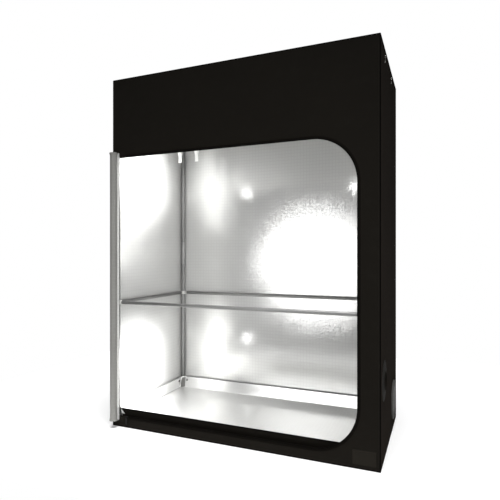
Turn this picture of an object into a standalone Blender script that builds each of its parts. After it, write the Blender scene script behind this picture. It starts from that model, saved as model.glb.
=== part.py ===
"""Indoor grow tent, 120 by 60 by 160 cm, standing open with its door rolled back.

Metres. +Z is up, +X is to the right of someone facing the doorway, -Y is the doorway side.
The origin is the middle of the tent's footprint, on the ground.
"""
from math import cos, hypot, pi, radians, sin, sqrt

import bmesh
import bpy

# Outside of the tent
TENT_WIDTH = 1.200
TENT_DEPTH = 0.610
TENT_HEIGHT = 1.594

# Cloth and clearances
CLOTH = 0.0012
GAP = 0.0003

# Frame tubes
POST_RADIUS = 0.0125
POST_WALL = 0.0010
BAR_RADIUS = 0.0080
BAR_WALL = 0.0008
SPIGOT_LENGTH = 0.035
SPIGOT_CHAMFER = 0.0015

# Three-way corner connectors
HUB_RISE = 0.022
ARM_REACH = 0.030

# Post joiners, centred at half the tent's height
JOINER_LENGTH = 0.126
JOINER_RADIUS = 0.0118

# Ring of bars round the posts, on snap-on clips
RING_HEIGHT = 0.568
CLIP_WALL = 0.0034
CLIP_HEIGHT = 0.018
CLIP_WRAP_DEGREES = 184
CLIP_ARM_REACH = 0.026
CLIP_ARM_ROOT = 0.0003

# Ceiling support bars and the hooks that carry them
CEILING_BAR_FRONT_INSET = 0.150
CEILING_BAR_REAR_INSET = 0.220
CEILING_BAR_DROP = 0.022
HOOK_WALL = 0.0030
HOOK_WIDTH = 0.018
HOOK_OPEN_FROM_DEGREES = 200
HOOK_OPEN_TO_DEGREES = 300
STEM_THICKNESS = 0.0038
STEM_WIDTH = 0.020
STEM_MARGIN = 0.0015
STEM_RISE = 0.004
STEM_BACKSET = 0.0004
HOOK_SHOULDER = 0.006

# Doorway in the front panel
DOOR_LEFT_MARGIN = 0.035
DOOR_RIGHT_MARGIN = 0.084
DOOR_SILL = 0.051
DOOR_HEAD_MARGIN = 0.3615
DOOR_CORNER_RADIUS = 0.170

# Zip round the doorway
ZIP_TAPE_WIDTH = 0.012
ZIP_TAPE_THICKNESS = 0.0010
ZIP_COIL_WIDTH = 0.0030
ZIP_COIL_HEIGHT = 0.0026
ZIP_COIL_SLOPE = 0.0010
ZIP_END_MARGIN = 0.036

# Zip slider and pull
SLIDER_FROM_SEAM = 0.045
SLIDER_LENGTH = 0.013
SLIDER_PLATE = 0.0022
SLIDER_CHEEK = 0.0014
SLIDER_CHEEK_DEPTH = 0.0020
BAIL_THICKNESS = 0.0020
BAIL_WALL = 0.0012
BAIL_HOLE_RADIUS = 0.0015
BAIL_ROOT = 0.0008
PULL_THICKNESS = 0.0016
PULL_WINDOW_WIDTH = 0.0040
PULL_SIDE = 0.0016
PULL_TAB_LENGTH = 0.024
PULL_TAB_WIDTH = 0.0090

# Door, rolled up at its sewn edge
ROLL_RADIUS = 0.0172
ROLL_CORE_RADIUS = 0.0030
ROLL_TURNS = 6
ROLL_LAYER = 0.0016
ROLL_PANEL_CLEARANCE = 0.0006
ROLL_ABOVE_HEAD = 0.022
ROLL_BELOW_SILL = 0.0195

# Passive vent low on the right wall
VENT_FROM_BACK = 0.145
VENT_Z = 0.130
VENT_RING_RADIUS = 0.086
VENT_RING_HEIGHT = 0.006
VENT_RING_FOOT = 0.0062
VENT_RING_LIP = 0.012
VENT_LIP_THICKNESS = 0.0010
VENT_RING_BEVEL = 0.0015
VENT_MESH_THICKNESS = 0.0012
VENT_MESH_STRAND = 0.0030
VENT_MESH_CELLS = 9

# Cable port on the right wall
CABLE_PORT_FROM_FRONT = 0.115
CABLE_PORT_Z = 0.304
CABLE_PORT_RADIUS = 0.045
CABLE_SLEEVE_BASE_RADIUS = 0.078
CABLE_SLEEVE_MOUTH_RADIUS = 0.034
CABLE_SLEEVE_HEIGHT = 0.016
CABLE_SLEEVE_PLEATS = 14

# Duct port in the roof
DUCT_PORT_FROM_SIDE = 0.300
DUCT_PORT_FROM_BACK = 0.117
DUCT_PORT_RADIUS = 0.0625
DUCT_SLEEVE_BASE_RADIUS = 0.080
DUCT_SLEEVE_MOUTH_RADIUS = 0.048
DUCT_SLEEVE_HEIGHT = 0.050
DUCT_SLEEVE_PLEATS = 12

# Both gathered sleeves
SLEEVE_CLOTH = 0.0012
SLEEVE_PLEAT_DEPTH = 0.0030

# Spill tray
TRAY_RIM_HEIGHT = 0.0815
TRAY_CLOTH = 0.0014
TRAY_HEM_HEIGHT = 0.008
TRAY_HEM_PROUD = 0.0008
TRAY_FLOOR_INSET_Y = 0.020
TRAY_RIM_INSET = 0.0160
TRAY_FLOOR_CORNER_CUT = 0.045
TRAY_RIM_CORNER_CUT = 0.0170

# Webbing straps over the rear ceiling bar
STRAP_LEFT_FROM_SIDE = 0.120
STRAP_RIGHT_FROM_SIDE = 0.220
STRAP_LENGTH = 0.281
STRAP_TAB_LENGTH = 0.030
STRAP_TAPER_LENGTH = 0.022
STRAP_WEB = 0.0015
STRAP_WIDTH = 0.018

# Facets
POST_SIDES = 16
BAR_SIDES = 12
ARC_STEPS = 10
ROLL_STEPS_PER_TURN = 20
ROUND_HOLE_SIDES = 32
POINTS_PER_PLEAT = 3
SMOOTH_ANGLE = radians(40)

# Worked out from the sizes above
HALF_WIDTH = TENT_WIDTH / 2
HALF_DEPTH = TENT_DEPTH / 2
FRAME_INSET = CLOTH + GAP + POST_RADIUS
POST_X = HALF_WIDTH - FRAME_INSET
POST_Y = HALF_DEPTH - FRAME_INSET
BOTTOM_BAR_Z = FRAME_INSET
TOP_BAR_Z = TENT_HEIGHT - FRAME_INSET
POST_BORE = POST_RADIUS - POST_WALL
BAR_BORE = BAR_RADIUS - BAR_WALL
DOOR_LEFT = DOOR_LEFT_MARGIN - HALF_WIDTH
DOOR_RIGHT = HALF_WIDTH - DOOR_RIGHT_MARGIN
DOOR_HEAD = TENT_HEIGHT - DOOR_HEAD_MARGIN
SIDE_CLOTH_HALF_DEPTH = HALF_DEPTH - CLOTH - GAP
ROOF_CLOTH_HALF_WIDTH = HALF_WIDTH - CLOTH - GAP
CEILING_BAR_FRONT_Y = CEILING_BAR_FRONT_INSET - HALF_DEPTH
CEILING_BAR_REAR_Y = HALF_DEPTH - CEILING_BAR_REAR_INSET
VENT_Y = HALF_DEPTH - VENT_FROM_BACK
CABLE_PORT_Y = CABLE_PORT_FROM_FRONT - HALF_DEPTH
DUCT_PORT_X = DUCT_PORT_FROM_SIDE - HALF_WIDTH
DUCT_PORT_Y = HALF_DEPTH - DUCT_PORT_FROM_BACK
STRAP_LEFT_X = STRAP_LEFT_FROM_SIDE - HALF_WIDTH
STRAP_RIGHT_X = STRAP_RIGHT_FROM_SIDE - HALF_WIDTH

# Each corner of the frame: its side along X and Y, and the quarter turns from the front left one
CORNERS = {
    "front_left": (-1, -1, 0),
    "front_right": (1, -1, 1),
    "rear_right": (1, 1, 2),
    "rear_left": (-1, 1, 3),
}

# Turns that lay a tube or a panel, which are drawn along +Z or in the XY plane
ALONG_X = (0, pi / 2, 0)
ALONG_Y = (-pi / 2, 0, 0)
FACING_FRONT = (pi / 2, 0, 0)
FACING_SIDE = (pi / 2, 0, pi / 2)
LEVEL = (0, 0, 0)


def clear_scene():
    """Remove every object that the file was opened with."""
    for obj in list(bpy.data.objects):
        bpy.data.objects.remove(obj, do_unlink=True)


def make_material(name, colour, roughness, metallic):
    """A plain material of one colour."""
    material = bpy.data.materials.new(name)
    material.use_nodes = True
    shader = material.node_tree.nodes["Principled BSDF"]
    shader.inputs["Base Color"].default_value = (*colour, 1)
    shader.inputs["Roughness"].default_value = roughness
    shader.inputs["Metallic"].default_value = metallic
    return material


def make_palette():
    """Every material of the tent, by name."""
    return {
        "black_cloth": make_material("black_cloth", (0.010, 0.009, 0.008), 0.80, 0),
        "silver_cloth": make_material("silver_cloth", (0.62, 0.61, 0.59), 0.40, 0.3),
        "steel": make_material("steel", (0.55, 0.55, 0.54), 0.35, 1),
        "joiner_steel": make_material("joiner_steel", (0.68, 0.68, 0.67), 0.40, 1),
        "grey_plastic": make_material("grey_plastic", (0.50, 0.50, 0.48), 0.50, 0),
        "black_plastic": make_material("black_plastic", (0.02, 0.02, 0.02), 0.50, 0),
        "vent_cloth": make_material("vent_cloth", (0.10, 0.10, 0.095), 0.70, 0),
        "zip_metal": make_material("zip_metal", (0.05, 0.05, 0.05), 0.40, 0.8),
        "white_webbing": make_material("white_webbing", (0.85, 0.85, 0.83), 0.75, 0),
    }


def make_anchor(name, location, parent=None):
    """An empty that pieces are placed from."""
    anchor = bpy.data.objects.new(name, None)
    anchor.location = location
    anchor.parent = parent
    bpy.context.scene.collection.objects.link(anchor)
    return anchor


def place(name, mesh, material, parent, location, rotation=LEVEL):
    """Put a mesh into the scene as one named piece."""
    piece = bpy.data.objects.new(name, mesh)
    piece.location = location
    piece.rotation_euler = rotation
    piece.parent = parent
    bpy.context.scene.collection.objects.link(piece)
    if not mesh.materials:
        mesh.materials.append(material)
    return piece


def mesh_from(bm, name):
    """Close a bmesh off as a mesh whose faces point out, smooth on its round sides."""
    bmesh.ops.recalc_face_normals(bm, faces=bm.faces)
    mesh = bpy.data.meshes.new(name)
    bm.to_mesh(mesh)
    bm.free()
    mesh.shade_smooth()
    mesh.set_sharp_from_angle(angle=SMOOTH_ANGLE)
    return mesh


def arc(centre_x, centre_y, radius, start_degrees, end_degrees, steps):
    """Points along an arc, both ends included."""
    span = end_degrees - start_degrees
    angles = [radians(start_degrees + span * step / steps) for step in range(steps + 1)]
    return [(centre_x + radius * cos(a), centre_y + radius * sin(a)) for a in angles]


def circle(centre_x, centre_y, radius, sides):
    """Points round a circle, the first one not repeated."""
    return arc(centre_x, centre_y, radius, 0, 360, sides)[:-1]


def plate(name, outline, thickness, holes=()):
    """A flat plate with holes, drawn in XY, its thickness going up from zero."""
    bm = bmesh.new()
    edges = []
    for loop in [outline, *holes]:
        verts = [bm.verts.new((x, y, 0)) for x, y in loop]
        edges += [bm.edges.new((verts[i - 1], vert)) for i, vert in enumerate(verts)]
    bmesh.ops.triangle_fill(bm, edges=edges, use_beauty=True)
    raised = bmesh.ops.extrude_face_region(bm, geom=bm.faces[:])
    top = [item for item in raised["geom"] if isinstance(item, bmesh.types.BMVert)]
    bmesh.ops.translate(bm, verts=top, vec=(0, 0, thickness))
    return mesh_from(bm, name)


def tube(name, radius, bore, length, sides):
    """An open tube that stands on the XY plane."""
    return plate(name, circle(0, 0, radius, sides), length, [circle(0, 0, bore, sides)])


def skin(name, rings, closed=False):
    """A solid through a row of rings that have as many points each.

    A closed row joins its last ring to its first, and an open one has a cap at each end.
    """
    bm = bmesh.new()
    rows = [[bm.verts.new(point) for point in ring] for ring in rings]
    first = 0 if closed else 1
    for row in range(first, len(rows)):
        below, above = rows[row - 1], rows[row]
        for i in range(len(above)):
            bm.faces.new((below[i - 1], below[i], above[i], above[i - 1]))
    if not closed:
        bm.faces.new(rows[0])
        bm.faces.new(rows[-1])
    bmesh.ops.triangulate(bm, faces=[face for face in bm.faces if len(face.verts) > 4])
    return mesh_from(bm, name)


def turned(name, profile, sides):
    """A solid of revolution about Z from (radius, height) pairs, open ends capped."""
    rings = [[(x, y, height) for x, y in circle(0, 0, radius, sides)] for radius, height in profile]
    return skin(name, rings)


def turned_ring(name, profile, sides):
    """A ring about Z from a closed outline of (radius, height) pairs."""
    rings = []
    for step in range(sides):
        angle = 2 * pi * step / sides
        rings.append([(radius * cos(angle), radius * sin(angle), height) for radius, height in profile])
    return skin(name, rings, closed=True)


def joined(name, members):
    """One solid from overlapping meshes, each given with its location and rotation."""
    objects = []
    for mesh, location, rotation in members:
        member = bpy.data.objects.new(name, mesh)
        member.location = location
        member.rotation_euler = rotation
        bpy.context.scene.collection.objects.link(member)
        objects.append(member)
    base = objects[0]
    for member in objects[1:]:
        union = base.modifiers.new("join", "BOOLEAN")
        union.operation = "UNION"
        union.object = member
    evaluated = base.evaluated_get(bpy.context.evaluated_depsgraph_get())
    mesh = bpy.data.meshes.new_from_object(evaluated)
    mesh.transform(evaluated.matrix_world)
    mesh.materials.clear()
    mesh.name = name
    for member in objects:
        bpy.data.objects.remove(member, do_unlink=True)
    mesh.shade_smooth()
    mesh.set_sharp_from_angle(angle=SMOOTH_ANGLE)
    return mesh


def stepped_spigot(name, root, shoulder_radius, shoulder, spigot_radius, sides):
    """A round arm along Z with a thinner, chamfered spigot at its end."""
    tip = shoulder + SPIGOT_LENGTH
    profile = [
        (shoulder_radius, root),
        (shoulder_radius, shoulder),
        (spigot_radius, shoulder),
        (spigot_radius, tip - SPIGOT_CHAMFER),
        (spigot_radius - SPIGOT_CHAMFER, tip),
    ]
    return turned(name, profile, sides)


def corner_connector_mesh():
    """A three-way corner: a hub under the post and an arm for each of two bars."""
    hub = stepped_spigot("hub", -POST_RADIUS, POST_RADIUS, HUB_RISE, POST_BORE - GAP, POST_SIDES)
    arm = stepped_spigot("arm", 0, BAR_RADIUS, ARM_REACH, BAR_BORE - GAP, BAR_SIDES)
    here = (0, 0, 0)
    return joined("corner_connector", [(hub, here, LEVEL), (arm, here, ALONG_X), (arm, here, ALONG_Y)])


def build_corners(frame, palette):
    """Four corner connectors on the ground and four under the roof."""
    mesh = corner_connector_mesh()
    for corner, (side_x, side_y, turns) in CORNERS.items():
        turn = turns * pi / 2
        foot = (side_x * POST_X, side_y * POST_Y, BOTTOM_BAR_Z)
        head = (side_x * POST_X, side_y * POST_Y, TOP_BAR_Z)
        place(f"bottom_corner_{corner}", mesh, palette["black_plastic"], frame, foot, (0, 0, turn))
        # A half turn about the diagonal hangs the connector upside down with its arms in place
        upside_down = (pi, 0, turn + pi / 2)
        place(f"top_corner_{corner}", mesh, palette["black_plastic"], frame, head, upside_down)


def joiner_mesh():
    """The middle of a post: a slimmer sleeve with a spigot into each half."""
    half = JOINER_LENGTH / 2 - GAP
    tip = half + SPIGOT_LENGTH
    plug = POST_BORE - GAP
    upper = [
        (JOINER_RADIUS, half),
        (plug, half),
        (plug, tip - SPIGOT_CHAMFER),
        (plug - SPIGOT_CHAMFER, tip),
    ]
    lower = [(radius, -height) for radius, height in reversed(upper)]
    return turned("post_joiner", lower + upper, POST_SIDES)


def build_posts(frame, palette):
    """Four corner posts, each of two tubes and a joiner."""
    foot = BOTTOM_BAR_Z + HUB_RISE + GAP
    half_length = TENT_HEIGHT / 2 - JOINER_LENGTH / 2 - foot
    half_post = tube("half_post", POST_RADIUS, POST_BORE, half_length, POST_SIDES)
    joiner = joiner_mesh()
    for corner, (side_x, side_y, _) in CORNERS.items():
        x, y = side_x * POST_X, side_y * POST_Y
        upper_foot = TENT_HEIGHT - foot - half_length
        place(f"lower_post_{corner}", half_post, palette["steel"], frame, (x, y, foot))
        place(f"upper_post_{corner}", half_post, palette["steel"], frame, (x, y, upper_foot))
        place(f"post_joiner_{corner}", joiner, palette["joiner_steel"], frame, (x, y, TENT_HEIGHT / 2))


def build_bar_level(frame, palette, level, height, reach):
    """Four bars between the posts at one height, held by arms that reach so far."""
    length_x = 2 * (POST_X - reach - GAP)
    length_y = 2 * (POST_Y - reach - GAP)
    bar_x = tube(f"{level}_bar_across", BAR_RADIUS, BAR_BORE, length_x, BAR_SIDES)
    bar_y = tube(f"{level}_bar_deep", BAR_RADIUS, BAR_BORE, length_y, BAR_SIDES)
    steel = palette["steel"]
    place(f"{level}_bar_front", bar_x, steel, frame, (-length_x / 2, -POST_Y, height), ALONG_X)
    place(f"{level}_bar_rear", bar_x, steel, frame, (-length_x / 2, POST_Y, height), ALONG_X)
    place(f"{level}_bar_left", bar_y, steel, frame, (-POST_X, -length_y / 2, height), ALONG_Y)
    place(f"{level}_bar_right", bar_y, steel, frame, (POST_X, -length_y / 2, height), ALONG_Y)


def ring_clip_mesh():
    """A snap-on clip that wraps the inner side of a post, with an arm for each of two bars."""
    bore = POST_RADIUS + GAP
    outer = bore + CLIP_WALL
    start = 45 - CLIP_WRAP_DEGREES / 2
    end = 45 + CLIP_WRAP_DEGREES / 2
    outline = arc(0, 0, outer, start, end, ARC_STEPS) + arc(0, 0, bore, end, start, ARC_STEPS)
    wrap = plate("clip_wrap", outline, CLIP_HEIGHT)
    root = bore + CLIP_ARM_ROOT
    arm = stepped_spigot("clip_arm", root, BAR_RADIUS, CLIP_ARM_REACH, BAR_BORE - GAP, BAR_SIDES)
    here = (0, 0, 0)
    members = [(wrap, (0, 0, -CLIP_HEIGHT / 2), LEVEL), (arm, here, ALONG_X), (arm, here, ALONG_Y)]
    return joined("ring_clip", members)


def build_ring(frame, palette):
    """The ring of bars at a third of the height, with its four clips."""
    clip = ring_clip_mesh()
    for corner, (side_x, side_y, turns) in CORNERS.items():
        spot = (side_x * POST_X, side_y * POST_Y, RING_HEIGHT)
        place(f"ring_clip_{corner}", clip, palette["grey_plastic"], frame, spot, (0, 0, turns * pi / 2))
    build_bar_level(frame, palette, "ring", RING_HEIGHT, CLIP_ARM_REACH)


def ceiling_hook_sizes():
    """The hook's bore and outer radius, and where the support bar starts from the side bar's axis."""
    bore = BAR_RADIUS + GAP
    outer = bore + HOOK_WALL
    shoulder = bore + STEM_BACKSET + STEM_THICKNESS + HOOK_SHOULDER
    return bore, outer, shoulder


def ceiling_hook_mesh():
    """A hook over the side top bar, its stem, and a spigot for the support bar below."""
    bore, outer, shoulder = ceiling_hook_sizes()
    start, end = HOOK_OPEN_TO_DEGREES - 360, HOOK_OPEN_FROM_DEGREES
    crook_outline = arc(0, 0, outer, start, end, ARC_STEPS) + arc(0, 0, bore, end, start, ARC_STEPS)
    crook = plate("hook_crook", crook_outline, HOOK_WIDTH)
    inner = bore + STEM_BACKSET
    outside = inner + STEM_THICKNESS
    low = -(CEILING_BAR_DROP + BAR_RADIUS + STEM_MARGIN)
    stem_outline = [(inner, low), (outside, low), (outside, STEM_RISE), (inner, STEM_RISE)]
    stem = plate("hook_stem", stem_outline, STEM_WIDTH)
    root = inner + STEM_THICKNESS / 2
    arm = stepped_spigot("hook_arm", root, BAR_RADIUS, shoulder, BAR_BORE - GAP, BAR_SIDES)
    members = [
        (crook, (0, HOOK_WIDTH / 2, 0), FACING_FRONT),
        (stem, (0, STEM_WIDTH / 2, 0), FACING_FRONT),
        (arm, (0, 0, -CEILING_BAR_DROP), ALONG_X),
    ]
    return joined("ceiling_hook", members)


def build_ceiling_bars(frame, palette):
    """Two support bars across the tent, hung from the side top bars."""
    hook = ceiling_hook_mesh()
    _, _, shoulder = ceiling_hook_sizes()
    length = 2 * (POST_X - shoulder - GAP)
    bar = tube("ceiling_bar", BAR_RADIUS, BAR_BORE, length, BAR_SIDES)
    bar_z = TOP_BAR_Z - CEILING_BAR_DROP
    for row, y in (("front", CEILING_BAR_FRONT_Y), ("rear", CEILING_BAR_REAR_Y)):
        place(f"ceiling_bar_{row}", bar, palette["steel"], frame, (-length / 2, y, bar_z), ALONG_X)
        left, right = (-POST_X, y, TOP_BAR_Z), (POST_X, y, TOP_BAR_Z)
        place(f"ceiling_hook_{row}_left", hook, palette["black_plastic"], frame, left)
        place(f"ceiling_hook_{row}_right", hook, palette["black_plastic"], frame, right, (0, 0, pi))


def rectangle(low_x, low_y, high_x, high_y):
    """The four corners of an upright rectangle."""
    return [(low_x, low_y), (high_x, low_y), (high_x, high_y), (low_x, high_y)]


def door_path():
    """The zipped edge of the doorway, from the sill's left end round to the head's left end."""
    centre_x = DOOR_RIGHT - DOOR_CORNER_RADIUS
    low_y = DOOR_SILL + DOOR_CORNER_RADIUS
    high_y = DOOR_HEAD - DOOR_CORNER_RADIUS
    low_corner = arc(centre_x, low_y, DOOR_CORNER_RADIUS, -90, 0, ARC_STEPS)
    high_corner = arc(centre_x, high_y, DOOR_CORNER_RADIUS, 0, 90, ARC_STEPS)
    return [(DOOR_LEFT, DOOR_SILL), *low_corner, *high_corner, (DOOR_LEFT, DOOR_HEAD)]


def build_walls(cloth, palette):
    """The skin's six panels, with the doorway and the round ports cut out."""
    black = palette["black_cloth"]
    front_outline = rectangle(-HALF_WIDTH, 0, HALF_WIDTH, TENT_HEIGHT)
    side_outline = rectangle(-SIDE_CLOTH_HALF_DEPTH, 0, SIDE_CLOTH_HALF_DEPTH, TENT_HEIGHT)
    roof_outline = rectangle(
        -ROOF_CLOTH_HALF_WIDTH, -SIDE_CLOTH_HALF_DEPTH, ROOF_CLOTH_HALF_WIDTH, SIDE_CLOTH_HALF_DEPTH
    )
    vent_hole = circle(VENT_Y, VENT_Z, vent_opening_radius(), ROUND_HOLE_SIDES)
    cable_hole = circle(CABLE_PORT_Y, CABLE_PORT_Z, CABLE_PORT_RADIUS, ROUND_HOLE_SIDES)
    duct_hole = circle(DUCT_PORT_X, DUCT_PORT_Y, DUCT_PORT_RADIUS, ROUND_HOLE_SIDES)

    front = plate("front_panel", front_outline, CLOTH, [door_path()])
    place("front_panel", front, black, cloth, (0, CLOTH - HALF_DEPTH, 0), FACING_FRONT)
    back = plate("back_wall", front_outline, CLOTH)
    place("back_wall", back, black, cloth, (0, HALF_DEPTH, 0), FACING_FRONT)
    left = plate("left_wall", side_outline, CLOTH)
    place("left_wall", left, black, cloth, (-HALF_WIDTH, 0, 0), FACING_SIDE)
    right = plate("right_wall", side_outline, CLOTH, [vent_hole, cable_hole])
    place("right_wall", right, black, cloth, (HALF_WIDTH - CLOTH, 0, 0), FACING_SIDE)
    roof = plate("roof_panel", roof_outline, CLOTH, [duct_hole])
    place("roof_panel", roof, black, cloth, (0, 0, TENT_HEIGHT - CLOTH))
    ground = plate("floor_panel", roof_outline, CLOTH)
    place("floor_panel", ground, black, cloth, (0, 0, 0))


def build_zip_tape(cloth, palette):
    """The half of the zip that stays on the front panel: a tape with its coil along the doorway."""
    section = [
        (0, 0),
        (0, ZIP_COIL_HEIGHT),
        (ZIP_COIL_WIDTH, ZIP_COIL_HEIGHT),
        (ZIP_COIL_WIDTH + ZIP_COIL_SLOPE, ZIP_TAPE_THICKNESS),
        (ZIP_TAPE_WIDTH, ZIP_TAPE_THICKNESS),
        (ZIP_TAPE_WIDTH, 0),
    ]
    path = door_path()
    start = DOOR_LEFT + ZIP_END_MARGIN
    path[0] = (start, DOOR_SILL)
    path[-1] = (start, DOOR_HEAD)
    centre_x = DOOR_RIGHT - DOOR_CORNER_RADIUS
    low_y = DOOR_SILL + DOOR_CORNER_RADIUS
    high_y = DOOR_HEAD - DOOR_CORNER_RADIUS
    rings = []
    for x, y in path:
        # Outward is square to the edge, so it fans out round the two corners
        out_x = max(x - centre_x, 0)
        out_y = min(y - low_y, 0) + max(y - high_y, 0)
        reach = hypot(out_x, out_y)
        out_x, out_y = out_x / reach, out_y / reach
        rings.append([(x + out_x * out, y + out_y * out, rise) for out, rise in section])
    mesh = skin("door_zip_tape", rings)
    place("door_zip_tape", mesh, palette["black_cloth"], cloth, (0, -HALF_DEPTH - GAP, 0), FACING_FRONT)


def slider_body_mesh():
    """The slider: a plate over the zip coil with a cheek on each side and a bail on its face.

    Drawn with its travel along X and the doorway's edge at the origin. -Y faces outwards.
    """
    face = ZIP_COIL_HEIGHT + GAP
    front = face + SLIDER_PLATE
    upper_in, upper_out = GAP, GAP + SLIDER_CHEEK
    lower_in = -(ZIP_COIL_WIDTH + ZIP_COIL_SLOPE + GAP)
    lower_out = lower_in - SLIDER_CHEEK
    foot = face - SLIDER_CHEEK_DEPTH
    shallow_foot = ZIP_TAPE_THICKNESS + GAP
    outline = [
        (lower_out, shallow_foot),
        (lower_in, shallow_foot),
        (lower_in, face),
        (upper_in, face),
        (upper_in, foot),
        (upper_out, foot),
        (upper_out, front),
        (lower_out, front),
    ]
    body = skin("slider_body", [
        [(-SLIDER_LENGTH / 2, -rise, across) for across, rise in outline],
        [(SLIDER_LENGTH / 2, -rise, across) for across, rise in outline],
    ])
    middle = (upper_out + lower_out) / 2
    axis_rise = pull_axis_rise()
    outer = BAIL_HOLE_RADIUS + BAIL_WALL
    root = axis_rise - front + BAIL_ROOT
    bail_outline = arc(0, 0, outer, 180, 360, ARC_STEPS) + [(outer, root), (-outer, root)]
    hole = circle(0, 0, BAIL_HOLE_RADIUS, BAR_SIDES)
    bail = plate("slider_bail", bail_outline, BAIL_THICKNESS, [hole])
    # The bail stands square to the travel, its arch pointing outwards
    spot = (-BAIL_THICKNESS / 2, -axis_rise, middle)
    return joined("zip_slider", [(body, (0, 0, 0), LEVEL), (bail, spot, (0, pi / 2, 0))]), middle


def pull_axis_rise():
    """How far the pull's pin stands out from the front panel's zip tape."""
    return ZIP_COIL_HEIGHT + GAP + SLIDER_PLATE + BAIL_HOLE_RADIUS + BAIL_WALL


def zip_pull_mesh():
    """The pull: a flat tab with a window at its top, whose upper edge is the pin in the bail."""
    pin = PULL_THICKNESS / 2
    window_half = PULL_WINDOW_WIDTH / 2
    eye_half = window_half + PULL_SIDE
    window_low = -(BAIL_HOLE_RADIUS + BAIL_WALL + 2 * GAP)
    tab_half = PULL_TAB_WIDTH / 2
    shoulder = window_low - PULL_SIDE - tab_half
    tip = shoulder - PULL_TAB_LENGTH + tab_half
    outline = [
        (eye_half, pin),
        (-eye_half, pin),
        (-eye_half, window_low - PULL_SIDE),
        (-tab_half, shoulder),
        *arc(0, tip, tab_half, 180, 360, ARC_STEPS),
        (tab_half, shoulder),
        (eye_half, window_low - PULL_SIDE),
    ]
    window = rectangle(-window_half, window_low, window_half, -pin)
    return plate("zip_pull", outline, PULL_THICKNESS, [window])


def build_slider(root, palette):
    """The zip slider, parked at the sill's left end, and its pull."""
    body, middle = slider_body_mesh()
    park = (DOOR_LEFT + SLIDER_FROM_SEAM, -HALF_DEPTH - GAP, DOOR_SILL)
    travel = make_anchor("zip_slider_travel", park, root)
    place("zip_slider", body, palette["zip_metal"], travel, (0, 0, 0))
    pin = make_anchor("zip_pull_pin", (0, -pull_axis_rise(), middle), travel)
    place("zip_pull", zip_pull_mesh(), palette["zip_metal"], pin, (0, PULL_THICKNESS / 2, 0), FACING_FRONT)


def roll_outline():
    """The door's cloth seen from above, from its sewn edge into the roll.

    The sewn edge is at the origin, the front panel just behind it, and -Y is outwards.
    """
    half = ROLL_LAYER / 2
    centre_x = -ROLL_RADIUS
    centre_y = -(ROLL_RADIUS + ROLL_PANEL_CLEARANCE - GAP)
    winding = ROLL_RADIUS - half
    pitch = (winding - ROLL_CORE_RADIUS) / ROLL_TURNS
    steps = ROLL_TURNS * ROLL_STEPS_PER_TURN
    outside, inside = [(0, 0)], [(-ROLL_LAYER, 0)]
    for step in range(steps + 1):
        turn = step / ROLL_STEPS_PER_TURN
        radius = winding - pitch * turn
        angle = -2 * pi * turn
        x, y = cos(angle), sin(angle)
        outside.append((centre_x + (radius + half) * x, centre_y + (radius + half) * y))
        inside.append((centre_x + (radius - half) * x, centre_y + (radius - half) * y))
    return outside + inside[::-1], pitch


def build_door_roll(root, palette):
    """The door, wound up at the left edge of the doorway."""
    outline, pitch = roll_outline()
    print(f"least gap between the layers of the door roll: {(pitch - ROLL_LAYER) * 1000:.2f} mm")
    height = DOOR_HEAD + ROLL_ABOVE_HEAD - DOOR_SILL + ROLL_BELOW_SILL
    low = DOOR_SILL - ROLL_BELOW_SILL
    seam = make_anchor("door_seam", (DOOR_LEFT, -HALF_DEPTH - GAP, low), root)
    place("door_roll", plate("door_roll", outline, height), palette["silver_cloth"], seam, (0, 0, 0))


def vent_opening_radius():
    """The clear radius inside the vent's raised ring."""
    return VENT_RING_RADIUS - VENT_RING_LIP


def build_vent(cloth, palette):
    """The passive vent: a raised ring on the right wall with a net under its lip."""
    seat = VENT_RING_RADIUS - VENT_RING_FOOT
    lip_under = VENT_RING_HEIGHT - VENT_LIP_THICKNESS
    profile = [
        (seat, 0),
        (VENT_RING_RADIUS, 0),
        (VENT_RING_RADIUS, VENT_RING_HEIGHT - VENT_RING_BEVEL),
        (VENT_RING_RADIUS - VENT_RING_BEVEL, VENT_RING_HEIGHT),
        (vent_opening_radius(), VENT_RING_HEIGHT),
        (vent_opening_radius(), lip_under),
        (seat, lip_under),
    ]
    ring = turned_ring("vent_ring", profile, ROUND_HOLE_SIDES)
    spot = (HALF_WIDTH + GAP, VENT_Y, VENT_Z)
    place("vent_ring", ring, palette["vent_cloth"], cloth, spot, FACING_SIDE)

    pitch = 2 * vent_opening_radius() / VENT_MESH_CELLS
    half_cell = (pitch - VENT_MESH_STRAND) / 2
    middle = (VENT_MESH_CELLS - 1) / 2
    cells = []
    for column in range(VENT_MESH_CELLS):
        for row in range(VENT_MESH_CELLS):
            x, y = (column - middle) * pitch, (row - middle) * pitch
            if hypot(abs(x) + half_cell, abs(y) + half_cell) < vent_opening_radius():
                cells.append(rectangle(x - half_cell, y - half_cell, x + half_cell, y + half_cell))
    net_outline = circle(0, 0, seat - GAP, ROUND_HOLE_SIDES)
    net = plate("vent_mesh", net_outline, VENT_MESH_THICKNESS, cells)
    net_x = HALF_WIDTH + GAP + lip_under - GAP - VENT_MESH_THICKNESS
    place("vent_mesh", net, palette["vent_cloth"], cloth, (net_x, VENT_Y, VENT_Z), FACING_SIDE)


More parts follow.
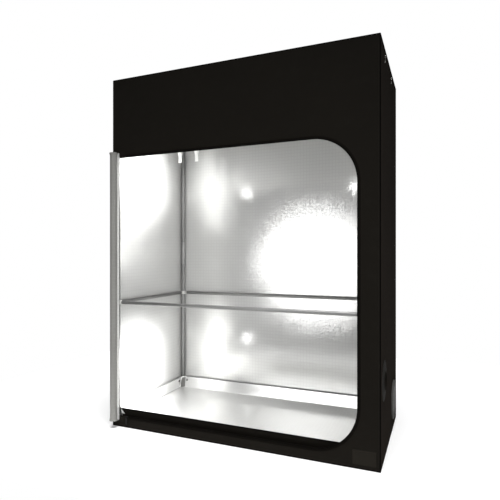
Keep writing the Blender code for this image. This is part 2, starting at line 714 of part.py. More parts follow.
def gathered_sleeve(name, base_radius, mouth_radius, height, pleats):
    """A short cloth sleeve drawn in at its mouth, whose pleats deepen towards it.

    It stands on the XY plane and opens upwards.
    """
    # How far out, how high and how deeply pleated the cloth is, on its way to the mouth
    course_shares = [(1, 0, 0), (0.86, 0.10, 0.1), (0.62, 0.34, 0.4), (0.32, 0.66, 0.7), (0.10, 0.90, 1), (0, 1, 1)]
    sides = pleats * POINTS_PER_PLEAT
    spread = base_radius - mouth_radius
    rise = height - SLEEVE_CLOTH

    def course(out_share, up_share, pleat_share, inwards, upwards):
        ring = []
        for side in range(sides):
            angle = 2 * pi * side / sides
            pleat = SLEEVE_PLEAT_DEPTH * pleat_share * sin(pleats * angle) / 2
            radius = mouth_radius + spread * out_share - inwards + pleat
            ring.append((radius * cos(angle), radius * sin(angle), rise * up_share + upwards))
        return ring

    outside = [course(*shares, 0, SLEEVE_CLOTH) for shares in course_shares]
    inside = [course(*shares, SLEEVE_CLOTH, 0) for shares in reversed(course_shares)]
    return skin(name, outside + inside, closed=True)


def build_sleeves(cloth, palette):
    """The puckered sleeves of the cable port and the duct port."""
    cable = gathered_sleeve(
        "cable_sleeve", CABLE_SLEEVE_BASE_RADIUS, CABLE_SLEEVE_MOUTH_RADIUS,
        CABLE_SLEEVE_HEIGHT, CABLE_SLEEVE_PLEATS,
    )
    cable_spot = (HALF_WIDTH + GAP, CABLE_PORT_Y, CABLE_PORT_Z)
    place("cable_sleeve", cable, palette["black_cloth"], cloth, cable_spot, FACING_SIDE)
    duct = gathered_sleeve(
        "duct_sleeve", DUCT_SLEEVE_BASE_RADIUS, DUCT_SLEEVE_MOUTH_RADIUS,
        DUCT_SLEEVE_HEIGHT, DUCT_SLEEVE_PLEATS,
    )
    duct_spot = (DUCT_PORT_X, DUCT_PORT_Y, TENT_HEIGHT + GAP)
    place("duct_sleeve", duct, palette["black_cloth"], cloth, duct_spot)


def tray_ring(half_x, half_y, corner_cut, height):
    """A rectangle with its corners cut off, at one height of the tray."""
    near_x, near_y = half_x - corner_cut, half_y - corner_cut
    points = [
        (half_x, -near_y), (half_x, near_y), (near_x, half_y), (-near_x, half_y),
        (-half_x, near_y), (-half_x, -near_y), (-near_x, -half_y), (near_x, -half_y),
    ]
    return [(x, y, height) for x, y in points]


def tray_course(height, inwards, outwards=0):
    """The tray's outline at a height, moved in by a wall or out by a hem."""
    low = tray_underside()
    share = (height - low) / (TRAY_RIM_HEIGHT - low)
    floor_half_x = POST_X
    floor_half_y = HALF_DEPTH - TRAY_FLOOR_INSET_Y
    rim_half_x = HALF_WIDTH - TRAY_RIM_INSET
    rim_half_y = HALF_DEPTH - TRAY_RIM_INSET
    half_x = floor_half_x + (rim_half_x - floor_half_x) * share - inwards + outwards
    half_y = floor_half_y + (rim_half_y - floor_half_y) * share - inwards + outwards
    cut = TRAY_FLOOR_CORNER_CUT + (TRAY_RIM_CORNER_CUT - TRAY_FLOOR_CORNER_CUT) * share
    # A corner cut keeps the wall's thickness across the cut as well
    return tray_ring(half_x, half_y, cut - (2 - sqrt(2)) * (inwards - outwards), height)


def tray_underside():
    """The height at which the tray rests on the bottom bars."""
    return BOTTOM_BAR_Z + BAR_RADIUS + GAP


def build_tray(root, palette):
    """The spill tray: a shallow cloth tub with folded corners and a hemmed rim."""
    low = tray_underside()
    hem = TRAY_RIM_HEIGHT - TRAY_HEM_HEIGHT
    rings = [
        tray_course(low, 0),
        tray_course(hem, 0),
        tray_course(hem, 0, TRAY_HEM_PROUD),
        tray_course(TRAY_RIM_HEIGHT, 0, TRAY_HEM_PROUD),
        tray_course(TRAY_RIM_HEIGHT, TRAY_CLOTH + TRAY_HEM_PROUD),
        tray_course(hem, TRAY_CLOTH + TRAY_HEM_PROUD),
        tray_course(hem, TRAY_CLOTH),
        tray_course(low + TRAY_CLOTH, TRAY_CLOTH),
    ]
    lift = make_anchor("tray_lift", (0, 0, 0), root)
    place("spill_tray", skin("spill_tray", rings), palette["silver_cloth"], lift, (0, 0, 0))


def strap_mesh():
    """A band of webbing looped over a bar, its two legs sewn together at the bottom."""
    inner = BAR_RADIUS + GAP
    outer = inner + STRAP_WEB
    tab_top = STRAP_TAB_LENGTH - STRAP_LENGTH
    taper_top = tab_top + STRAP_TAPER_LENGTH
    outline = [
        *arc(0, 0, outer, 0, 180, ARC_STEPS),
        (-outer, taper_top),
        (-STRAP_WEB, tab_top),
        (-STRAP_WEB, -STRAP_LENGTH),
        (STRAP_WEB, -STRAP_LENGTH),
        (STRAP_WEB, tab_top),
        (outer, taper_top),
    ]
    loop = [*arc(0, 0, inner, 0, 180, ARC_STEPS), (-inner, taper_top), (0, tab_top), (inner, taper_top)]
    return plate("hanging_strap", outline, STRAP_WIDTH, [loop])


def build_straps(root, palette):
    """Two hanging straps on the rear ceiling bar."""
    mesh = strap_mesh()
    bar_z = TOP_BAR_Z - CEILING_BAR_DROP
    for side, x in (("left", STRAP_LEFT_X), ("right", STRAP_RIGHT_X)):
        swing = make_anchor(f"strap_swing_{side}", (x, CEILING_BAR_REAR_Y, bar_z), root)
        middle = (-STRAP_WIDTH / 2, 0, 0)
        place(f"hanging_strap_{side}", mesh, palette["white_webbing"], swing, middle, FACING_SIDE)


def main():
    """Build the whole tent."""
    clear_scene()
    palette = make_palette()
    root = make_anchor("grow_tent", (0, 0, 0))
    frame = make_anchor("frame", (0, 0, 0), root)
    cloth = make_anchor("cloth_skin", (0, 0, 0), root)
    build_corners(frame, palette)
    build_posts(frame, palette)
    build_bar_level(frame, palette, "bottom", BOTTOM_BAR_Z, ARM_REACH)
    build_bar_level(frame, palette, "top", TOP_BAR_Z, ARM_REACH)
    build_ring(frame, palette)
    build_ceiling_bars(frame, palette)
    build_walls(cloth, palette)
    build_zip_tape(cloth, palette)
    build_vent(cloth, palette)
    build_sleeves(cloth, palette)
    build_slider(root, palette)
    build_door_roll(root, palette)
    build_tray(root, palette)
    build_straps(root, palette)


main()
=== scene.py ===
"""The looks of an indoor grow tent: cloth, black outside and reflecting inside, over a cage of steel tubes.

Metres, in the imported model's frame: +X to the right of someone facing the doorway, -Y out through it, +Z up.
"""

import logging
from dataclasses import dataclass
from enum import Enum
from functools import cache
from math import atan2, copysign, cos, degrees, hypot, pi, radians, sin, sqrt
from typing import Callable, Iterable, Sequence

import bmesh
import bpy
from mathutils import Matrix, Vector, noise


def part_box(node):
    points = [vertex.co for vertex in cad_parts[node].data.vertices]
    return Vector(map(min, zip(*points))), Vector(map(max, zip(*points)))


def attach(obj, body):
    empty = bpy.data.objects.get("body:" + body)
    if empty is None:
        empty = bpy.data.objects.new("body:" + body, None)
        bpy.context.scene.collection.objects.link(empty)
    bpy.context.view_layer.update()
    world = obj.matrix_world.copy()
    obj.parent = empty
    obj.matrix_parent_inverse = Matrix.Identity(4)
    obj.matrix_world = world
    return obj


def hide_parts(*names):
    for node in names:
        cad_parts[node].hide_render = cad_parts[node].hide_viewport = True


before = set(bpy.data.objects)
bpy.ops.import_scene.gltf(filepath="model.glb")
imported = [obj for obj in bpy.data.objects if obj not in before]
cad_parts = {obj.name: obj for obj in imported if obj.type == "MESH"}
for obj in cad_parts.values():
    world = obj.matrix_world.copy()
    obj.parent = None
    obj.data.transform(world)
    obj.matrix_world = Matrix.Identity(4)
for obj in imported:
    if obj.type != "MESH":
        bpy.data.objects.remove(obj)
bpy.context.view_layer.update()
LOG = logging.getLogger("grow_tent")

Colour = tuple[float, float, float]
Place = tuple[float, float, float]
Socket = bpy.types.NodeSocket
MM = 0.001
RIGHTWARDS = Vector((1, 0, 0))
BACKWARDS = Vector((0, 1, 0))
FORWARDS = Vector((0, -1, 0))
UPWARDS = Vector((0, 0, 1))


class Body(Enum):
    """The bodies of the frame that new pieces move with."""

    TENT = "tent_body"
    ROLL = "rolled_door"
    TRAY = "tray"
    LEFT_STRAP = "left_strap"
    RIGHT_STRAP = "right_strap"


class Slot(Enum):
    """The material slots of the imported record."""

    BLACK_CLOTH = "black_cloth"
    SILVER_CLOTH = "silver_cloth"
    STEEL = "steel"
    JOINER_STEEL = "joiner_steel"
    BLACK_PLASTIC = "black_plastic"
    GREY_PLASTIC = "grey_plastic"
    VENT_CLOTH = "vent_cloth"
    ZIP_METAL = "zip_metal"
    WHITE_WEBBING = "white_webbing"


class Axis(Enum):
    """A direction of the tent's frame."""

    X = 0
    Y = 1
    Z = 2

    def at(self, distance: float) -> Vector:
        """The place at a distance along this direction."""
        return Vector([distance if axis is self else 0.0 for axis in Axis])


class Pick(Enum):
    """What an edit operator acts on."""

    FACES = "FACE"
    EDGES = "EDGE"


@dataclass(frozen=True)
class Span:
    """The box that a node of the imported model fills."""

    low: Vector
    high: Vector

    @classmethod
    def of(cls, node: str) -> "Span":
        """The box of one node."""
        low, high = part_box(node)
        return cls(low, high)

    @property
    def middle(self) -> Vector:
        """The middle of the box."""
        return (self.low + self.high) / 2

    @property
    def size(self) -> Vector:
        """The box's three sides."""
        return self.high - self.low


def ease(value: float) -> float:
    """A smooth step from 0 to 1, for a value that is held between them."""
    held = min(max(value, 0.0), 1.0)
    return held * held * (3 - 2 * held)


def rolling(place: Place, size: float, seed: float = 0.0) -> float:
    """Smooth noise from -1 to 1 that changes over about the size given."""
    return noise.noise(Vector(place) / size + Vector((seed, seed * 0.37, -seed)))


def shaded(tone: Colour, share: float) -> Colour:
    """A colour made darker or lighter by a share."""
    return tuple(share * part for part in tone)


def circle(centre: Vector, one: Vector, other: Vector, radius: float, count: int) -> list[Vector]:
    """Set points evenly round a circle.

    Args:
        centre: its middle.
        one: the way to its first point.
        other: the way to the point a quarter round.
        radius: its radius.
        count: how many points it has.

    Returns:
        The points, the first one once.
    """
    angles = [2 * pi * step / count for step in range(count)]
    return [centre + (one * cos(angle) + other * sin(angle)) * radius for angle in angles]


class Recipe:
    """A material that is mixed node by node."""

    def __init__(self, name: str, **constants: float | tuple[float, ...]) -> None:
        """Start a material.

        Args:
            name: the finish's name.
            constants: values of the shader that are the same all over, with _ for a space in a socket's name.
        """
        self.material = bpy.data.materials.new(name)
        self.material.use_nodes = True
        self.tree = self.material.node_tree
        self.shader = self.tree.nodes["Principled BSDF"]
        for key, value in constants.items():
            self.shader.inputs[key.replace("_", " ").title().replace("Ior", "IOR")].default_value = value

    def add(self, kind: str, inputs: dict, out: str | int = 0, **settings: object) -> Socket:
        """Add one node.

        Args:
            kind: the node's type, without the usual prefix.
            inputs: values or sockets, by the input's name or number.
            out: the output that is wanted.
            settings: the node's own settings.

        Returns:
            The socket that the node gives.
        """
        node = self.tree.nodes.new(f"ShaderNode{kind}")
        for key, value in settings.items():
            setattr(node, key, value)
        for key, value in inputs.items():
            if isinstance(value, Socket):
                self.tree.links.new(value, node.inputs[key])
            else:
                node.inputs[key].default_value = value
        return node.outputs[out]

    def maths(self, operation: str, *values: Socket | float) -> Socket:
        """One sum on one to three values."""
        return self.add("Math", dict(enumerate(values)), operation=operation)

    def split(self, whole: Socket) -> tuple[Socket, ...]:
        """A vector's three parts."""
        return tuple(self.add("SeparateXYZ", {0: whole}).node.outputs)

    def place(self) -> tuple[Socket, ...]:
        """The object's coordinates, whole and then one by one."""
        whole = self.add("TexCoord", {}, out="Object")
        return whole, *self.split(whole)

    def along_piece(self) -> tuple[Socket, ...]:
        """The piece's own map: metres across it and metres along it."""
        return self.split(self.add("UVMap", {}, uv_map="UVMap"))[:2]

    def cloud(self, where: Socket, size: float, detail: float = 2.0, roughness: float = 0.5) -> Socket:
        """Soft noise from 0 to 1 whose patches are about one size."""
        inputs = {"Vector": where, "Scale": 1 / size, "Detail": detail, "Roughness": roughness}
        return self.add("TexNoise", inputs, out=0)

    def stretch(self, where: Socket, scale: Place) -> Socket:
        """Coordinates scaled along each axis."""
        return self.add("Mapping", {"Vector": where, "Scale": scale})

    def band(self, value: Socket, low: float, high: float) -> Socket:
        """0 below the low value, 1 above the high one and even in between."""
        return self.add("MapRange", {"Value": value, "From Min": low, "From Max": high})

    def mix(self, share: Socket | float, first: Colour | Socket, second: Colour | Socket) -> Socket:
        """One colour over another by a share."""
        one, other = [value if isinstance(value, Socket) else (*value, 1) for value in (first, second)]
        return self.add("Mix", {0: share, 6: one, 7: other}, out=2, data_type="RGBA")

    def ridges(self, value: Socket, pitch: float) -> Socket:
        """Round ridges from 0 to 1 that repeat at a pitch."""
        return self.maths("ABSOLUTE", self.maths("SINE", self.maths("MULTIPLY", value, pi / pitch)))

    def threads(self, across: Socket, along: Socket, pitch: float) -> Socket:
        """Weave threads that go over and under by turns.

        Args:
            across: metres across the cloth.
            along: metres along it.
            pitch: from thread to thread.

        Returns:
            The weave's height, from 0 to 1.
        """
        cells = [self.maths("FLOOR", self.maths("DIVIDE", value, pitch)) for value in (across, along)]
        turn = self.maths("PINGPONG", self.maths("ADD", *cells), 1.0)
        over = self.maths("MULTIPLY", self.ridges(across, pitch), self.maths("MULTIPLY_ADD", turn, 0.6, 0.4))
        under = self.maths("MULTIPLY", self.ridges(along, pitch), self.maths("MULTIPLY_ADD", turn, -0.6, 1.0))
        return self.maths("MAXIMUM", over, under)

    def line(self, value: Socket, pitch: float, width: float) -> Socket:
        """1 on thin lines that repeat at a pitch, 0 between them."""
        offset = self.maths("PINGPONG", value, pitch / 2)
        return self.band(offset, width, 0.0)

    def squareness(self) -> tuple[Socket, ...]:
        """How squarely the surface faces along each axis, from 0 to 1."""
        whole = self.add("TexCoord", {}, out="Normal")
        return tuple(self.maths("ABSOLUTE", part) for part in self.split(whole))

    def ruled(self, places: Sequence[Socket], square: Sequence[Socket], pitch: float, width: float) -> Socket:
        """Lines that repeat along each axis that lies in the surface.

        Args:
            places: the object's coordinates one by one.
            square: how squarely the surface faces along each axis.
            pitch: from line to line.
            width: a line's half width.

        Returns:
            1 on the lines, 0 between them.
        """
        lines: Socket | float = 0.0
        for value, facing in zip(places, square):
            shown = self.maths("MULTIPLY", self.line(value, pitch, width), self.band(facing, 0.8, 0.6))
            lines = self.maths("MAXIMUM", lines, shown)
        return lines

    def facets(self, where: Socket, size: float, tilt: float) -> Socket:
        """A normal that leans another way in each small cell, as a finely crumpled film's does.

        Args:
            where: the coordinates that the cells follow.
            size: a cell's size.
            tilt: how far a cell leans at most, as a slope.

        Returns:
            The normal.
        """
        cell = self.add("TexVoronoi", {"Vector": where, "Scale": 1 / size}, out="Color")
        lean = self.add("VectorMath", {0: cell, 1: (0.5, 0.5, 0.5)}, operation="SUBTRACT")
        square = self.add("NewGeometry", {}, out="Normal")
        inputs = {0: lean, 1: (2 * tilt, 2 * tilt, 2 * tilt), 2: square}
        leaning = self.add("VectorMath", inputs, operation="MULTIPLY_ADD")
        return self.add("VectorMath", {0: leaning}, operation="NORMALIZE")

    def bump(self, height: Socket, depth: float, under: Socket | None = None) -> Socket:
        """A relief of a real depth, over another one where it is given."""
        below = {} if under is None else {"Normal": under}
        return self.add("Bump", {"Height": height, "Distance": depth, **below}, out="Normal")

    def finish(self, colour: Socket | None = None, roughness: Socket | None = None,
               normal: Socket | None = None) -> bpy.types.Material:
        """Join what was mixed to the shader.

        Args:
            colour: the surface's colour, where it varies.
            roughness: its roughness, where it varies.
            normal: its relief.

        Returns:
            The material.
        """
        for name, socket in (("Base Color", colour), ("Roughness", roughness), ("Normal", normal)):
            if socket is not None:
                self.tree.links.new(socket, self.shader.inputs[name])
        return self.material


@dataclass(frozen=True)
class OuterCloth:
    """Coated black cloth with a fine weave, and a row of stitches along the panel's edges."""

    name: str = "black_cloth_plain"
    across: Axis = Axis.X
    along: Axis = Axis.Z
    middle: tuple[float, float] = (0.0, 0.0)
    half: tuple[float, float] = (9.0, 9.0)
    tone: Colour = (0.0080, 0.0068, 0.0052)
    gloss: float = 0.045
    pitch: float = 0.75 * MM
    stitch_inset: float = 7 * MM
    stitch_pitch: float = 2.2 * MM
    gathered: float = 0.03

    @cache
    def material(self) -> bpy.types.Material:
        """Mix the cloth.

        Returns:
            The cloth's material.
        """
        mix = Recipe(self.name, roughness=0.78, specular_ior_level=self.gloss, sheen_weight=0.008,
                     sheen_roughness=0.5)
        whole, *axes = mix.place()
        u = mix.maths("SUBTRACT", axes[self.across.value], self.middle[0])
        v = mix.maths("SUBTRACT", axes[self.along.value], self.middle[1])
        to_side = mix.maths("SUBTRACT", self.half[0], mix.maths("ABSOLUTE", u))
        to_end = mix.maths("SUBTRACT", self.half[1], mix.maths("ABSOLUTE", v))
        edge = mix.maths("MINIMUM", to_side, to_end)
        off_row = mix.maths("ABSOLUTE", mix.maths("SUBTRACT", edge, self.stitch_inset))
        beat = mix.maths("PINGPONG", mix.maths("ADD", u, v), self.stitch_pitch)
        on_row = mix.band(off_row, 0.6 * MM, 0.3 * MM)
        stitch = mix.maths("MULTIPLY", on_row, mix.band(beat, 0.5 * MM, 0.8 * MM))
        patches = mix.cloud(whole, 0.22, detail=4)
        specks = mix.cloud(whole, 0.05, detail=6, roughness=0.7)
        dust = mix.maths("MULTIPLY", mix.band(specks, 0.5, 0.8), 0.25)
        colour = mix.mix(patches, shaded(self.tone, 0.86), shaded(self.tone, 1.12))
        colour = mix.mix(dust, colour, (0.0140, 0.0128, 0.0108))
        colour = mix.mix(mix.maths("MULTIPLY", stitch, 0.8), colour, (0.016, 0.0148, 0.0130))
        rough = mix.maths("MULTIPLY_ADD", patches, 0.14, 0.72)
        pucker = mix.maths("MULTIPLY", mix.band(edge, self.gathered, 0.0), mix.cloud(whole, 0.012, detail=2))
        normal = mix.bump(mix.cloud(whole, 0.09, detail=3), 1.2 * MM)
        normal = mix.bump(pucker, 1.0 * MM, normal)
        normal = mix.bump(stitch, 0.4 * MM, normal)
        normal = mix.bump(mix.threads(u, v, self.pitch), 0.12 * MM, normal)
        return mix.finish(colour, rough, normal)


@dataclass(frozen=True)
class ReflectingFoil:
    """Silver film on the inside of the cloth, embossed all over and held by a fine grid of threads."""

    name: str = "reflecting_foil"
    tone: Colour = (0.80, 0.80, 0.785)
    dull: Colour = (0.70, 0.70, 0.69)
    roughness: float = 0.14
    metallic: float = 0.46
    grid: float = 17 * MM
    grid_share: float = 0.20
    fine_grid: float = 3.4 * MM
    crinkle_size: float = 11 * MM
    facet_size: float = 3.6 * MM
    facet_tilt: float = 0.025

    @cache
    def material(self) -> bpy.types.Material:
        """Mix the film.

        Returns:
            The film's material.
        """
        mix = Recipe(self.name, metallic=self.metallic, specular_ior_level=0.5)
        whole, *places = mix.place()
        square = mix.squareness()
        patches = mix.cloud(whole, 0.30, detail=4)
        crinkle = mix.cloud(whole, self.crinkle_size, detail=0.6)
        grain = mix.cloud(whole, 2.2 * MM, detail=0)
        colour = mix.mix(patches, self.tone, self.dull)
        grid = mix.ruled(places, square, self.grid, 2.2 * MM)
        fine = mix.ruled(places, square, self.fine_grid, 0.5 * MM)
        colour = mix.mix(mix.maths("MULTIPLY", grid, self.grid_share), colour, (0.40, 0.40, 0.39))
        rough = mix.maths("MULTIPLY_ADD", crinkle, 0.06, self.roughness - 0.03)
        normal = mix.facets(whole, self.facet_size, self.facet_tilt)
        normal = mix.bump(mix.cloud(whole, 0.10, detail=2), 0.3 * MM, normal)
        normal = mix.bump(grain, 0.03 * MM, normal)
        normal = mix.bump(grid, 0.03 * MM, normal)
        normal = mix.bump(fine, 0.006 * MM, normal)
        return mix.finish(colour, rough, normal)


@dataclass(frozen=True)
class TubeSteel:
    """Bright zinc-plated tube, drawn along its length."""

    name: str
    along: Axis
    tone: Colour = (0.30, 0.30, 0.295)
    roughness: float = 0.52

    @cache
    def material(self) -> bpy.types.Material:
        """Mix the steel.

        Returns:
            The tube's material.
        """
        mix = Recipe(self.name, metallic=1.0)
        whole, *_ = mix.place()
        squeeze = tuple(0.02 if axis is self.along else 1.0 for axis in Axis)
        drawn = mix.cloud(mix.stretch(whole, squeeze), 1.3 * MM, detail=2)
        spangle = mix.cloud(whole, 9 * MM, detail=5, roughness=0.6)
        scuffs = mix.band(mix.cloud(whole, 0.03, detail=7, roughness=0.75), 0.62, 0.78)
        colour = mix.mix(spangle, self.tone, shaded(self.tone, 0.82))
        colour = mix.mix(mix.maths("MULTIPLY", scuffs, 0.35), colour, (0.34, 0.34, 0.33))
        rough = mix.maths("MULTIPLY_ADD", drawn, 0.12, self.roughness - 0.06)
        rough = mix.maths("MULTIPLY_ADD", scuffs, 0.15, rough)
        return mix.finish(colour, rough, mix.bump(drawn, 0.008 * MM))


@dataclass(frozen=True)
class Moulding:
    """Moulded plastic with a spark-eroded grain and rubbed high spots."""

    name: str
    tone: Colour
    roughness: float = 0.48

    @cache
    def material(self) -> bpy.types.Material:
        """Mix the plastic.

        Returns:
            The plastic's material.
        """
        mix = Recipe(self.name, specular_ior_level=0.45)
        whole, *_ = mix.place()
        grain = mix.cloud(whole, 0.5 * MM, detail=2)
        flow = mix.cloud(whole, 0.02, detail=4)
        rubbed = mix.band(mix.cloud(whole, 7 * MM, detail=6, roughness=0.7), 0.60, 0.80)
        lighter = tuple(min(1.0, 1.25 * c + 0.012) for c in self.tone)
        colour = mix.mix(flow, self.tone, shaded(self.tone, 0.85))
        colour = mix.mix(mix.maths("MULTIPLY", rubbed, 0.5), colour, lighter)
        rough = mix.maths("MULTIPLY_ADD", rubbed, -0.12, self.roughness)
        return mix.finish(colour, rough, mix.bump(grain, 0.04 * MM))


@dataclass(frozen=True)
class Strip:
    """Woven tape or webbing, whose weave follows the piece's own map."""

    name: str
    tone: Colour
    shade: Colour
    pitch: float
    slant: float = 1.0
    specular: float = 0.25
    sheen: float = 0.08

    @cache
    def material(self) -> bpy.types.Material:
        """Mix the tape.

        Returns:
            The tape's material.
        """
        mix = Recipe(self.name, roughness=0.75, specular_ior_level=self.specular, sheen_weight=self.sheen,
                     sheen_roughness=0.4)
        whole, *_ = mix.place()
        across, along = mix.along_piece()
        ribs = mix.ridges(mix.maths("MULTIPLY_ADD", across, self.slant, along), self.pitch)
        cords = mix.ridges(across, self.pitch)
        height = mix.maths("MULTIPLY", ribs, mix.maths("MULTIPLY_ADD", cords, 0.5, 0.5))
        fibres = mix.cloud(whole, 0.4 * MM, detail=2)
        soil = mix.cloud(whole, 0.02, detail=5, roughness=0.65)
        colour = mix.mix(height, self.shade, self.tone)
        colour = mix.mix(mix.maths("MULTIPLY", soil, 0.25), colour, self.shade)
        normal = mix.bump(height, 0.25 * MM)
        return mix.finish(colour, None, mix.bump(fibres, 0.05 * MM, normal))


@dataclass(frozen=True)
class Thread:
    """Sewing or net yarn, twisted."""

    name: str
    tone: Colour
    roughness: float = 0.65
    specular: float = 0.3

    @cache
    def material(self) -> bpy.types.Material:
        """Mix the yarn.

        Returns:
            The yarn's material.
        """
        mix = Recipe(self.name, roughness=self.roughness, specular_ior_level=self.specular)
        whole, *_ = mix.place()
        twist = mix.cloud(whole, 0.35 * MM, detail=1)
        fade = mix.cloud(whole, 0.04, detail=3)
        colour = mix.mix(fade, self.tone, shaded(self.tone, 0.7))
        return mix.finish(colour, None, mix.bump(twist, 0.06 * MM))


@dataclass(frozen=True)
class PaintedMetal:
    """Black painted zinc, worn to the metal on its rubbed spots."""

    name: str
    tone: Colour = (0.008, 0.0075, 0.007)
    bare: Colour = (0.20, 0.19, 0.18)
    wear: float = 0.74

    @cache
    def material(self) -> bpy.types.Material:
        """Mix the paint.

        Returns:
            The paint's material.
        """
        mix = Recipe(self.name, metallic=0.3, specular_ior_level=0.15)
        whole, *_ = mix.place()
        worn = mix.band(mix.cloud(whole, 3 * MM, detail=8, roughness=0.75), self.wear, self.wear + 0.06)
        colour = mix.mix(worn, self.tone, self.bare)
        rough = mix.maths("MULTIPLY_ADD", worn, -0.10, 0.55)
        return mix.finish(colour, rough, mix.bump(mix.cloud(whole, 1 * MM, detail=3), 0.05 * MM))


WEBBING = Strip("white_webbing", (0.90, 0.90, 0.88), (0.70, 0.70, 0.68), 1.6 * MM)
ZIP_TAPE = Strip("zip_tape", (0.0062, 0.0054, 0.0042), (0.0036, 0.0031, 0.0024), 0.8 * MM, specular=0.02,
                 sheen=0.0)
# Real seam piping, made much blacker than the cloth so that it also paints the shade in each seam.
PIPING_WITH_PAINTED_SHADE = Strip("seam_piping_painted_shade", (0.0020, 0.0018, 0.0016), (0.0010, 0.0009, 0.0008), 0.9 * MM, specular=0.01,
               sheen=0.0)
SILVER_BINDING = Strip("silver_binding", (0.62, 0.62, 0.61), (0.42, 0.42, 0.41), 0.9 * MM)
BINDING = Strip("binding_tape", (0.0064, 0.0058, 0.0050), (0.0032, 0.0029, 0.0025), 0.9 * MM, specular=0.04,
                sheen=0.0)
COIL = Thread("zip_coil", (0.0022, 0.0020, 0.0018), roughness=0.60, specular=0.03)
BLACK_YARN = Thread("black_yarn", (0.0075, 0.0068, 0.0058), specular=0.05)
WHITE_YARN = Thread("white_yarn", (0.80, 0.80, 0.78))
CREASE_YARN = Thread("crease_yarn", (0.24, 0.24, 0.235))
GOLD_YARN = Thread("gold_yarn", (0.26, 0.19, 0.06))
NET_YARN = Thread("net_yarn", (0.17, 0.17, 0.165))
BLACK_PLASTIC = Moulding("black_plastic_moulded", (0.018, 0.018, 0.018))
GREY_PLASTIC = Moulding("grey_plastic_moulded", (0.60, 0.60, 0.58))
NICKEL = TubeSteel("nickel_eyelet", Axis.X, tone=(0.70, 0.68, 0.64), roughness=0.25)
# The folded corners are a mid grey, between the tray's black and silver faces: painted shade in the folds.
EAR_CLOTH_PAINTED_SHADE = OuterCloth("tray_ear_painted_shade", tone=(0.20, 0.20, 0.19))
TIP_CLOTH = OuterCloth("tray_tip_silver", tone=(0.78, 0.78, 0.76))
VENT_BINDING = OuterCloth("vent_binding_cloth", Axis.Y, Axis.Z, tone=(0.075, 0.073, 0.069), pitch=0.6 * MM)
# The wound roll's film is a dark grey, matte copy of the reflecting foil: painted shade on the roll.
ROLL_FOIL_PAINTED_SHADE = ReflectingFoil("rolled_foil_painted_shade", (0.228, 0.225, 0.212), (0.198, 0.195, 0.184), roughness=0.62,
                           metallic=0.06, grid_share=0.10)
STRIP_FOIL = ReflectingFoil("strip_foil", tone=(0.86, 0.86, 0.84), roughness=0.40, metallic=0.20)
FOIL = ReflectingFoil()
# The left wall's film is a darker copy of the same reflecting foil: painted shade on that wall alone.
LEFT_WALL_PAINTED_SHADE_SHARE = 0.86
LEFT_FOIL_PAINTED_SHADE = ReflectingFoil("left_foil_painted_shade", shaded(FOIL.tone, LEFT_WALL_PAINTED_SHADE_SHARE), shaded(FOIL.dull, LEFT_WALL_PAINTED_SHADE_SHARE),
                           metallic=0.30)
TRAY_FOIL = ReflectingFoil("tray_foil", (0.90, 0.90, 0.89), (0.84, 0.84, 0.83), metallic=0.42, roughness=0.13,
                           grid_share=0.08)


def clear_selection() -> None:
    """Leave every object unselected, in object mode."""
    if bpy.context.object is not None and bpy.context.object.mode != "OBJECT":
        bpy.ops.object.mode_set(mode="OBJECT")
    bpy.ops.object.select_all(action="DESELECT")


